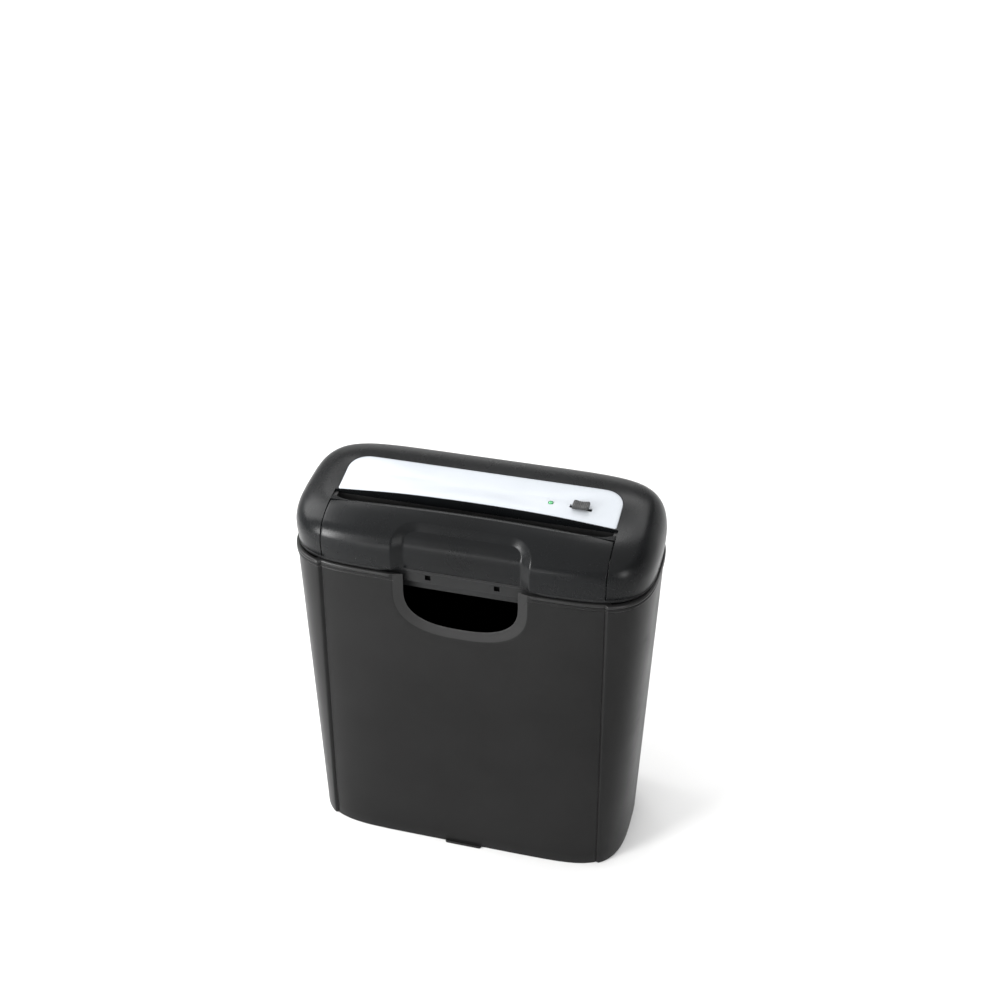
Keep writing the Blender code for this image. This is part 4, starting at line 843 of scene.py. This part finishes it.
def build_tub():
    tub = loft("lower_tub", tub_rings(TUB_RINGS, 0.0) + flange_rings())
    cavity = loft("cavity", tub_rings(TUB_CAVITY_RINGS, TUB_WALL))
    front = -TUB_HALF_DEPTH
    cut(cavity, prism_y("wall", arch_outline(TUB_WALL), front - 20.0, front + ARCH_REACH + TUB_WALL))
    cut(tub, cavity)
    arch = prism_y("arch", arch_outline(0.0), front - 20.0, front + ARCH_REACH)
    sides = (-EXIT_HALF_LENGTH, EXIT_HALF_LENGTH, EXIT_FRONT, EXIT_REAR)
    exit_slot = prism_z("exit", rounded_rectangle(*sides, (3,) * 4, 8), SEAT - 40.0, SEAT - 12.0)
    cut(tub, arch, exit_slot)
    window_front = front + TUB_SETBACK
    for side in (-1, 1):
        for x, half, rear, (low, high) in (
            (side * WINDOW_X, WINDOW_HALF, window_front + WINDOW_DEPTH, WINDOW_Z),
            (side * MARK_X, MARK_HALF, front + MARK_DEPTH, MARK_Z),
        ):
            cut(tub, box("tool", (x - half, front - 10.0, SEAT + low), (x + half, rear, SEAT + high)))
    for centre in SCREWS:
        cut(tub, round_hole(centre, SCREW_HOLE, SEAT - 30.0, SEAT - 12.0))
    cut(tub, round_hole((TAB_X, TAB_Y), TAB_HOLE, SEAT - 30.0, SEAT - 10.0))
    place(tub, "head", "tub_plastic", "lower_shell")
    tub.data.materials.append(finishes["recess"])
    # The back faces of the shallow square windows take a near-black painted shade, standing in for a deep
    # hole
    near = 0.1
    for face in tub.data.polygons:
        x, y, z = (c / MM for c in face.center)
        across = abs(abs(x) - WINDOW_X) < WINDOW_HALF + near
        upright = WINDOW_Z[0] - near < z - SEAT < WINDOW_Z[1] + near
        if across and upright and window_front + 0.05 < y < window_front + WINDOW_DEPTH + 0.2:
            face.material_index = 1


# ---- cutters
def cutter_profile(centres, left_end, right_end):
    """Shaft, core and discs with ground chamfers and a groove round each disc, as (x, radius)."""
    profile = [(left_end, SHAFT_RADIUS - SHAFT_CHAMFER), (left_end + SHAFT_CHAMFER, SHAFT_RADIUS)]
    profile += [(-CORE_END, SHAFT_RADIUS), (-CORE_END, CORE_RADIUS)]
    half = DISC_THICKNESS / 2
    half_disc = (
        (half + DISC_FILLET, CORE_RADIUS), (half, CORE_RADIUS + DISC_FILLET),
        (half, DISC_RADIUS - DISC_CHAMFER), (half - DISC_CHAMFER, DISC_RADIUS),
        (0.9, DISC_RADIUS), (0.6, DISC_RADIUS - DISC_GROOVE),
    )
    for x in centres:
        profile += [(x - away, radius) for away, radius in half_disc]
        profile += [(x + away, radius) for away, radius in reversed(half_disc)]
    profile += [(CORE_END, CORE_RADIUS), (CORE_END, SHAFT_RADIUS)]
    return profile + [(right_end - SHAFT_CHAMFER, SHAFT_RADIUS), (right_end, SHAFT_RADIUS - SHAFT_CHAMFER)]


def build_cutters():
    front = [(index - 8) * DISC_PITCH for index in range(17)]
    rear = [(index - 8.5) * DISC_PITCH for index in range(18)]
    for node, body, axis, centres, end in (
        ("cutter_front", "front_cutter", FRONT_AXIS, front, FRONT_SHAFT_END),
        ("cutter_rear", "rear_cutter", REAR_AXIS, rear, SHAFT_END),
    ):
        profile = cutter_profile(centres, -SHAFT_END, end)
        rings = [[(x, y, z) for y, z in circle(axis, r, 56)] for x, r in profile]
        item = loft(node + "_discs", rings)
        place(item, body, "cutter_steel", node, sharp_degrees=30.0)


# ---- switch, light and gland
def slider_ring(x, base, height, narrow):
    """Cross-section of the slider at x, with its upper edges rounded."""
    half = SLIDER_HALF_DEPTH - narrow
    shoulder = []
    for share in (0.0, 0.35, 0.7, 1.0):
        angle = share * math.pi / 2
        y = half - SLIDER_EDGE * (1 - math.cos(angle))
        shoulder.append((y, height - SLIDER_EDGE + SLIDER_EDGE * math.sin(angle)))
    ring = [(x, SWITCH_Y - half, base), (x, SWITCH_Y + half, base)]
    ring += [(x, SWITCH_Y + y, z) for y, z in shoulder]
    return ring + [(x, SWITCH_Y - y, z) for y, z in reversed(shoulder)]


def build_switch(tree):
    """Slider with a thumb hollow and grip ridges across it, on a stem."""
    top = height_on(tree, SWITCH_X, SWITCH_Y) + SLIDER_RISE
    base = height_on(tree, SWITCH_X - SWITCH_TRAVEL - 7.0, SWITCH_Y) + 0.3
    rings = []
    steps = 52
    for step in range(steps + 1):
        share = step / steps
        x = SWITCH_X - SLIDER_LENGTH / 2 + SLIDER_LENGTH * share
        edge = min(share, 1 - share) * SLIDER_LENGTH
        rounding = SLIDER_ROUNDING * (1 - min(edge / SLIDER_ROUNDING, 1.0)) ** 2
        hollow = 0.9 * math.exp(-(((share - 0.5) / 0.3) ** 2))
        wave = math.cos((share - 0.5) * SLIDER_LENGTH * 2 * math.pi / RIDGE_PITCH)
        ridge = RIDGE_HEIGHT * max(0.0, wave) * (edge > 1.6)
        rings.append(slider_ring(x, base, top - rounding - hollow + ridge, 0.5 * rounding))
    knob = loft("mode_slider", rings)
    low = (SWITCH_X - 3.0, SWITCH_Y - 1.5, base - 7.0)
    high = (SWITCH_X + 3.0, SWITCH_Y + 1.5, base + 1.0)
    join(knob, box("stem", low, high))
    place(knob, "mode_switch", "knob_plastic", "mode_switch_knob")


def build_light(tree):
    """Light pipe with a domed end that stands just proud of the inlay."""
    top = height_on(tree, *LIGHT_PLACE)
    profile = [(top - 14.0, LIGHT_RADIUS), (top - 0.2, LIGHT_RADIUS)]
    for angle in range(0, 91, 15):
        turn = math.radians(angle)
        profile.append((top + 0.7 * math.sin(turn), 0.05 + (LIGHT_RADIUS - 0.1) * math.cos(turn)))
    rings = [[(x, y, z) for x, y in circle(LIGHT_PLACE, r, 40)] for z, r in profile]
    pipe = loft("light_lens", rings)
    place(pipe, "head", "light_pipe", "status_light")


def build_gland():
    """Rubber gland with a ribbed collar outside the wall."""
    low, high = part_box("cord_gland")
    y_in, y_out = low.y / MM, high.y / MM
    mouth = GLAND_BORE + 0.4
    brink = GLAND_FLANGE - 0.4
    profile = (
        (y_in, mouth), (y_in, brink), (y_in + 0.4, GLAND_FLANGE), (y_in + 2.1, GLAND_FLANGE),
        (y_in + 2.5, brink), (y_in + 2.5, GLAND_NECK), (y_out - 2.2, GLAND_NECK),
        (y_out - 2.2, brink), (y_out - 1.9, GLAND_FLANGE), (y_out - 1.2, GLAND_FLANGE),
        (y_out - 0.5, GLAND_FLANGE - 0.5), (y_out - 0.1, 6.4), (y_out, 5.6), (y_out, mouth),
        (y_out - 0.3, GLAND_BORE), (y_in + 0.3, GLAND_BORE),
    )
    count = 48
    points = []
    for y, radius in profile:
        points += [(x, y, z) for x, z in circle((GLAND_X, SEAT + GLAND_Z), radius, count)]
    gland = add_mesh("cord_gland_collar", points, side_faces(len(profile), count, joined=True))
    place(gland, "head", "gland_rubber", "cord_gland")


# ---- finishes
class Finish:
    """Builds one node-based material."""

    def __init__(self, name):
        self.material = bpy.data.materials.new(name)
        self.material.use_nodes = True
        self.tree = self.material.node_tree
        self.shader = self.tree.nodes["Principled BSDF"]
        self.place = self.add("ShaderNodeTexCoord").outputs["Object"]

    def add(self, kind, inputs=None, **settings):
        node = self.tree.nodes.new(kind)
        for key, value in settings.items():
            setattr(node, key, value)
        for key, value in (inputs or {}).items():
            self.put(node.inputs[key], value)
        return node

    def put(self, socket, value):
        if isinstance(value, bpy.types.NodeSocket):
            self.tree.links.new(value, socket)
        else:
            socket.default_value = value

    def stretched(self, scale):
        inputs = {"Vector": self.place, "Scale": scale}
        return self.add("ShaderNodeMapping", inputs).outputs["Vector"]

    def noise(self, scale, detail=3.0, roughness=0.5, distortion=0.0, at=None):
        inputs = {"Vector": at or self.place, "Scale": scale, "Detail": detail}
        inputs.update({"Roughness": roughness, "Distortion": distortion})
        return self.add("ShaderNodeTexNoise", inputs).outputs["Fac"]

    def remap(self, value, low, high, to_low, to_high):
        inputs = {"Value": value, "From Min": low, "From Max": high}
        inputs.update({"To Min": to_low, "To Max": to_high})
        return self.add("ShaderNodeMapRange", inputs).outputs["Result"]

    def maths(self, operation, first, second):
        return self.add("ShaderNodeMath", {0: first, 1: second}, operation=operation).outputs[0]

    def mix(self, share, first, second):
        node = self.add("ShaderNodeMix", data_type="RGBA")
        self.put(node.inputs[0], share)
        self.put(node.inputs[6], first)
        self.put(node.inputs[7], second)
        return node.outputs[2]

    def edges(self, radius):
        """1 on convex and concave edges within radius metres, 0 on flats."""
        bevel = self.rounded(radius)
        normal = self.add("ShaderNodeNewGeometry").outputs["Normal"]
        dot = self.add("ShaderNodeVectorMath", {0: bevel, 1: normal}, operation="DOT_PRODUCT")
        return self.remap(dot.outputs["Value"], 0.97, 0.78, 0.0, 1.0)

    def bump(self, height, strength, distance, normal=None):
        inputs = {"Height": height, "Strength": strength, "Distance": distance}
        if normal:
            inputs["Normal"] = normal
        return self.add("ShaderNodeBump", inputs).outputs["Normal"]

    def rounded(self, radius):
        return self.add("ShaderNodeBevel", {"Radius": radius}, samples=4).outputs["Normal"]

    def set(self, **values):
        names = {
            "colour": "Base Color", "roughness": "Roughness", "metallic": "Metallic",
            "normal": "Normal", "specular": "Specular IOR Level", "ior": "IOR",
            "transmission": "Transmission Weight", "subsurface": "Subsurface Weight",
            "subsurface_scale": "Subsurface Scale", "sheen": "Sheen Weight",
        }
        for key, value in values.items():
            self.put(self.shader.inputs[names[key]], value)
        return self.material


def grey(value, tint=0.0):
    return (value * (1 - tint), value, value * (1 + tint), 1.0)


def shade(colour, factor=1.0, lift=0.0):
    return tuple(min(c * factor + lift, 1.0) for c in colour[:3]) + (1.0,)


def moulded(name, dark, light, roughness, grain, specular, worn):
    """Black or pale moulded plastic: spark-eroded grain, faint sink waves, handling smudges,
    polished edges and a little settled dust."""
    f = Finish(name)
    broad = f.noise(9.0, 3.0, 0.55)
    tone = f.mix(f.remap(broad, 0.35, 0.65, 0.0, 1.0), dark, light)
    speck = f.noise(2600.0, 2.0, 0.6)
    tone = f.mix(f.remap(speck, 0.62, 0.8, 0.0, 0.35), tone, shade(light, 1.9))
    edge = f.edges(0.0009)
    chafe = f.remap(f.noise(160.0, 4.0, 0.65), 0.4, 0.68, 0.15, 1.0)
    wear = f.maths("MULTIPLY", edge, chafe)
    tone = f.mix(f.maths("MULTIPLY", wear, 0.4), tone, shade(light, lift=worn))
    smudge = f.noise(24.0, 4.0, 0.55, 0.6)
    rough = f.remap(smudge, 0.3, 0.7, roughness - 0.025, roughness + 0.035)
    scuff = f.noise(55.0, 3.0, 0.7, 0.0, f.stretched((3.0, 1.0, 1.4)))
    rough = f.maths("ADD", rough, f.remap(scuff, 0.5, 0.8, 0.0, 0.03))
    rough = f.maths("SUBTRACT", rough, f.maths("MULTIPLY", wear, 0.08))
    waves = f.noise(22.0, 2.0, 0.4)
    normal = f.bump(waves, 0.10, 0.00022)
    normal = f.bump(f.noise(grain, 3.0, 0.6), 0.32, 0.00005, normal)
    return f.set(colour=tone, roughness=rough, normal=normal, specular=specular)


def metal(name, colour, roughness, lines, stain, turned=True):
    """Machined or rolled metal: fine tool marks, blotches and dull stains."""
    f = Finish(name)
    scale = (lines, 30.0, 30.0) if turned else (30.0, lines, 30.0)
    marks = f.noise(1.0, 4.0, 0.7, 0.0, f.stretched(scale))
    blot = f.noise(60.0, 4.0, 0.6, 0.5)
    tone = f.mix(f.remap(marks, 0.3, 0.7, 0.0, 0.45), colour, shade(colour, 0.55))
    tone = f.mix(f.remap(blot, 0.52, 0.75, 0.0, stain), tone, (0.10, 0.07, 0.045, 1.0))
    edge = f.edges(0.0006)
    tone = f.mix(f.maths("MULTIPLY", edge, 0.6), tone, shade(colour, 1.35))
    rough = f.remap(marks, 0.3, 0.7, roughness - 0.08, roughness + 0.08)
    rough = f.maths("ADD", rough, f.remap(blot, 0.5, 0.8, 0.0, 0.15))
    normal = f.bump(marks, 0.25, 0.00004, f.rounded(0.0003))
    return f.set(colour=tone, roughness=rough, normal=normal, metallic=1.0)


def nylon_finish():
    """Milky gear nylon with grease that has picked up dust."""
    f = Finish("nylon_natural")
    tone = f.mix(f.noise(40.0, 3.0), (0.72, 0.69, 0.60, 1), (0.80, 0.78, 0.71, 1))
    grease = f.remap(f.noise(210.0, 4.0, 0.6, 0.7), 0.52, 0.66, 0.0, 0.55)
    tone = f.mix(grease, tone, (0.46, 0.40, 0.26, 1))
    rough = f.remap(grease, 0.0, 0.55, 0.42, 0.18)
    normal = f.bump(f.noise(900.0, 3.0), 0.2, 0.00005, f.rounded(0.0003))
    return f.set(colour=tone, roughness=rough, normal=normal, subsurface=0.25, subsurface_scale=0.002)


def board_finish():
    """Green solder mask over copper tracks, with tinned pads."""
    f = Finish("board_mask")
    kind = "ShaderNodeTexVoronoi"
    cells = f.add(kind, {"Vector": f.place, "Scale": 260.0}, feature="DISTANCE_TO_EDGE")
    track = f.remap(cells.outputs["Distance"], 0.06, 0.10, 1.0, 0.0)
    pads = f.add(kind, {"Vector": f.place, "Scale": 190.0}, distance="CHEBYCHEV")
    pad = f.remap(pads.outputs["Distance"], 0.16, 0.2, 1.0, 0.0)
    tone = f.mix(f.noise(60.0, 2.0), (0.012, 0.10, 0.035, 1), (0.018, 0.14, 0.05, 1))
    tone = f.mix(f.maths("MULTIPLY", track, 0.8), tone, (0.05, 0.26, 0.10, 1))
    tone = f.mix(pad, tone, (0.62, 0.62, 0.60, 1))
    rough = f.remap(pad, 0.0, 1.0, 0.3, 0.45)
    normal = f.bump(f.maths("ADD", track, pad), 0.5, 0.00005, f.rounded(0.0002))
    return f.set(colour=tone, roughness=rough, normal=normal)


def sleeve_finish():
    """Heat-shrunk capacitor sleeve with a pale polarity stripe."""
    f = Finish("capacitor_sleeve_film")
    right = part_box("capacitor")[1].x
    axis = f.add("ShaderNodeSeparateXYZ", {"Vector": f.place}).outputs["X"]
    stripe = f.remap(axis, right - 0.0013, right - 0.0010, 0.0, 1.0)
    tone = f.mix(f.noise(80.0, 2.0), (0.015, 0.018, 0.035, 1), (0.03, 0.033, 0.055, 1))
    tone = f.mix(stripe, tone, (0.45, 0.47, 0.5, 1))
    rough = f.remap(f.noise(300.0, 3.0), 0.3, 0.7, 0.22, 0.4)
    normal = f.bump(f.noise(450.0, 2.0), 0.25, 0.00008, f.rounded(0.0006))
    return f.set(colour=tone, roughness=rough, normal=normal)


def lens_finish():
    """Moulded green light pipe, frosted a little inside."""
    f = Finish("light_pipe_lens")
    tone = f.mix(f.noise(500.0, 3.0), (0.10, 0.62, 0.22, 1), (0.16, 0.72, 0.30, 1))
    rough = f.remap(f.noise(700.0, 3.0), 0.3, 0.7, 0.12, 0.26)
    normal = f.bump(f.noise(1400.0, 2.0), 0.15, 0.00003)
    return f.set(colour=tone, roughness=rough, normal=normal, transmission=0.6, ior=1.49)


def rubber_finish():
    """Dull black rubber with bloom."""
    f = Finish("gland_rubber_dull")
    bloom = f.remap(f.noise(120.0, 5.0, 0.65, 0.4), 0.45, 0.7, 0.0, 0.35)
    tone = f.mix(bloom, (0.012, 0.012, 0.013, 1), (0.05, 0.05, 0.05, 1))
    rough = f.remap(bloom, 0.0, 0.35, 0.6, 0.82)
    normal = f.bump(f.noise(1500.0, 4.0), 0.5, 0.00008, f.rounded(0.0005))
    return f.set(colour=tone, roughness=rough, normal=normal, sheen=0.15)


def floor_finish():
    """Pale studio floor, painted darker round the object and whiter away from it: painted shade near the
    object and painted light far off.
    """
    f = Finish("studio_floor")
    reach = f.add("ShaderNodeVectorMath", {0: f.place}, operation="LENGTH").outputs["Value"]
    # Painted shade: darker floor colour near the object
    near = f.mix(f.noise(2.0, 3.0), (0.66, 0.66, 0.658, 1), (0.69, 0.69, 0.688, 1))
    # Painted light: the colour turns whiter away from the object
    tone = f.mix(f.remap(reach, 0.5, 1.8, 0.0, 1.0), near, (0.93, 0.93, 0.93, 1))
    rough = f.remap(f.noise(14.0, 4.0), 0.3, 0.7, 0.72, 0.82)
    normal = f.bump(f.noise(260.0, 3.0), 0.08, 0.0004)
    return f.set(colour=tone, roughness=rough, normal=normal, specular=0.2)


def recess_finish():
    """Unlit depth behind the small square holes of the tub."""
    f = Finish("recess_painted_shade")
    tone = f.mix(f.noise(300.0, 2.0), (0.0008, 0.0008, 0.0008, 1), (0.0014, 0.0014, 0.0014, 1))
    rough = f.remap(f.noise(500.0, 2.0), 0.3, 0.7, 0.8, 0.9)
    return f.set(colour=tone, roughness=rough, specular=0.02)


# Name, darker and lighter colour, roughness, grain, specular level and how pale worn edges get
MOULDED = {
    "bin_plastic": ("bin_satin_black", grey(0.004), grey(0.006), 0.36, 1500.0, 0.13, 0.05),
    # The band's colour, twice as light as the bin's plastic, is a painted highlight; its higher gloss is
    # real
    "bin_band": ("bin_band_gloss_and_painted_highlight", grey(0.008), grey(0.010), 0.32, 1500.0, 0.21, 0.05),
    # The inside's darker colour is painted shade; its rougher, duller surface is real
    "bin_inner": ("bin_inner_painted_shade", grey(0.0012), grey(0.0018), 0.45, 1500.0, 0.07, 0.02),
    "shell_plastic": (
        "shell_satin_black", grey(0.0022, 0.10), grey(0.0036, 0.12), 0.27, 1700.0, 0.14, 0.04
    ),
    "tub_plastic": (
        "tub_matte_black", grey(0.006, 0.02), grey(0.009, 0.03), 0.38, 1300.0, 0.19, 0.04
    ),
    "inlay_plastic": (
        "inlay_pale_grey", (0.34, 0.36, 0.385, 1), (0.375, 0.395, 0.42, 1), 0.34, 1600.0, 0.3, 0.05
    ),
    "throat_plastic": ("throat_matte_black", grey(0.010), grey(0.016), 0.48, 1100.0, 0.3, 0.05),
    "knob_plastic": (
        "knob_charcoal", grey(0.022, 0.01), grey(0.032, 0.02), 0.38, 1500.0, 0.4, 0.06
    ),
    "relay_blue": (
        "relay_case_blue", (0.012, 0.035, 0.16, 1), (0.02, 0.05, 0.22, 1), 0.35, 1500.0, 0.5, 0.05
    ),
    "lead_red": (
        "lead_pvc_red", (0.36, 0.012, 0.012, 1), (0.46, 0.02, 0.018, 1), 0.38, 1800.0, 0.5, 0.05
    ),
    "lead_black": ("lead_pvc_black", grey(0.02), grey(0.03), 0.38, 1800.0, 0.5, 0.09),
}
finishes = {slot: moulded(*look) for slot, look in MOULDED.items()}
finishes.update({
    "nylon": nylon_finish(),
    "cutter_steel": metal("cutter_ground_steel", (0.52, 0.52, 0.53, 1), 0.28, 3500.0, 0.35),
    "plate_steel": metal("plate_rolled_steel", (0.5, 0.5, 0.49, 1), 0.4, 900.0, 0.3, False),
    "rod_steel": metal("rod_drawn_steel", (0.56, 0.56, 0.57, 1), 0.25, 1600.0, 0.15),
    "bush_brass": metal("bush_turned_brass", (0.72, 0.50, 0.20, 1), 0.3, 2500.0, 0.3),
    "board_green": board_finish(),
    "capacitor_sleeve": sleeve_finish(),
    "light_pipe": lens_finish(),
    "gland_rubber": rubber_finish(),
    "recess": recess_finish(),
})


# ---- pieces
skin = skin_tree()
build_bin()
build_rear_cover(skin)
build_inlay(skin)
build_front_cover()
build_tub()
build_cutters()
build_switch(skin)
build_light(skin)
build_gland()

# The CAD nodes that stay get their finish and fine rounded edges
for node, item in frame["nodes"].items():
    if item.hide_render:
        continue
    item.data.materials.clear()
    item.data.materials.append(finishes[MATERIAL_SLOT[node]])
    weld = item.modifiers.new("weld", "WELD")
    weld.merge_threshold = 2e-6
    low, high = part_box(node)
    bevel = item.modifiers.new("edge", "BEVEL")
    bevel.width = min(0.0003, min(high - low) * 0.12)
    bevel.segments = 2
    bevel.limit_method = "ANGLE"
    bevel.angle_limit = math.radians(50)


# ---- studio
def aim(item, position, target):
    item.location = position
    direction = Vector(target) - Vector(position)
    item.rotation_euler = direction.to_track_quat("-Z", "Y").to_euler()


def area_light(name, position, target, size, energy):
    data = bpy.data.lights.new(name, "AREA")
    data.shape = "RECTANGLE"
    data.size, data.size_y = size
    data.energy = energy
    item = link(bpy.data.objects.new(name, data))
    item.visible_camera = False
    aim(item, position, target)


def build_sun():
    """Wide, soft light from the left and above."""
    data = bpy.data.lights.new("sun", "SUN")
    data.energy = 2.0
    data.angle = math.radians(110.0)
    aim(link(bpy.data.objects.new("sun", data)), (-0.8, -0.6, 2.6), (0.0, 0.0, 0.0))


def build_world():
    world = bpy.data.worlds.new("studio")
    world.use_nodes = True
    inputs = world.node_tree.nodes["Background"].inputs
    inputs["Color"].default_value = (1.0, 1.0, 1.0, 1.0)
    inputs["Strength"].default_value = 0.5
    bpy.context.scene.world = world


def build_floor():
    """Floor that is flat round the object and rises far away like a wide bowl."""
    shape = bmesh.new()
    bmesh.ops.create_grid(shape, x_segments=48, y_segments=48, size=FLOOR_HALF)
    for vert in shape.verts:
        far = max(0.0, math.hypot(vert.co.x, vert.co.y) - FLOOR_FLAT)
        vert.co.z = FLOOR_RISE * far * far - 0.00005
    mesh = bpy.data.meshes.new("floor")
    shape.to_mesh(mesh)
    shape.free()
    mesh.shade_smooth()
    mesh.materials.append(floor_finish())
    link(bpy.data.objects.new("floor", mesh))


def build_camera():
    """Three-quarter view from the front right and above."""
    azimuth, elevation, roll = map(math.radians, CAMERA_ANGLES)
    flat = math.cos(elevation)
    back = Vector((math.sin(azimuth) * flat, -math.cos(azimuth) * flat, math.sin(elevation)))
    right = Vector((math.cos(azimuth), math.sin(azimuth), 0.0))
    up = back.cross(right)
    across = right * math.cos(roll) + up * math.sin(roll)
    upward = up * math.cos(roll) - right * math.sin(roll)
    data = bpy.data.cameras.new("camera")
    data.lens = CAMERA_LENS
    data.sensor_width = 36.0
    camera = link(bpy.data.objects.new("camera", data))
    columns = (across, upward, back, Vector(CAMERA_PLACE))
    rows = [tuple(column[axis] for column in columns) for axis in range(3)]
    camera.matrix_world = Matrix((*rows, (0.0, 0.0, 0.0, 1.0)))
    bpy.context.scene.camera = camera


build_floor()
build_camera()
area_light("key_left", (-1.15, -1.35, 0.70), (-0.05, 0.0, 0.25), (0.45, 0.8), 40.0)
area_light("front_low", (-0.55, -2.1, 0.34), (0.0, 0.0, 0.25), (0.8, 0.36), 6.0)
area_light("fill_right", (1.15, -1.1, 0.75), (0.05, 0.0, 0.25), (0.2, 0.6), 7.0)
area_light("overhead", (-0.1, 1.1, 1.6), (0.0, 0.0, 0.28), (1.5, 0.5), 13.0)
area_light("bounce_left", (-0.75, 0.05, 0.75), (-0.6, 0.05, 0.0), (0.5, 0.7), 8.0)
area_light("bounce_front", (-0.62, -0.62, 0.42), (-0.34, -0.34, 0.0), (0.2, 0.2), 2.2)
build_sun()
build_world()
bpy.context.scene.view_settings.view_transform = "Standard"
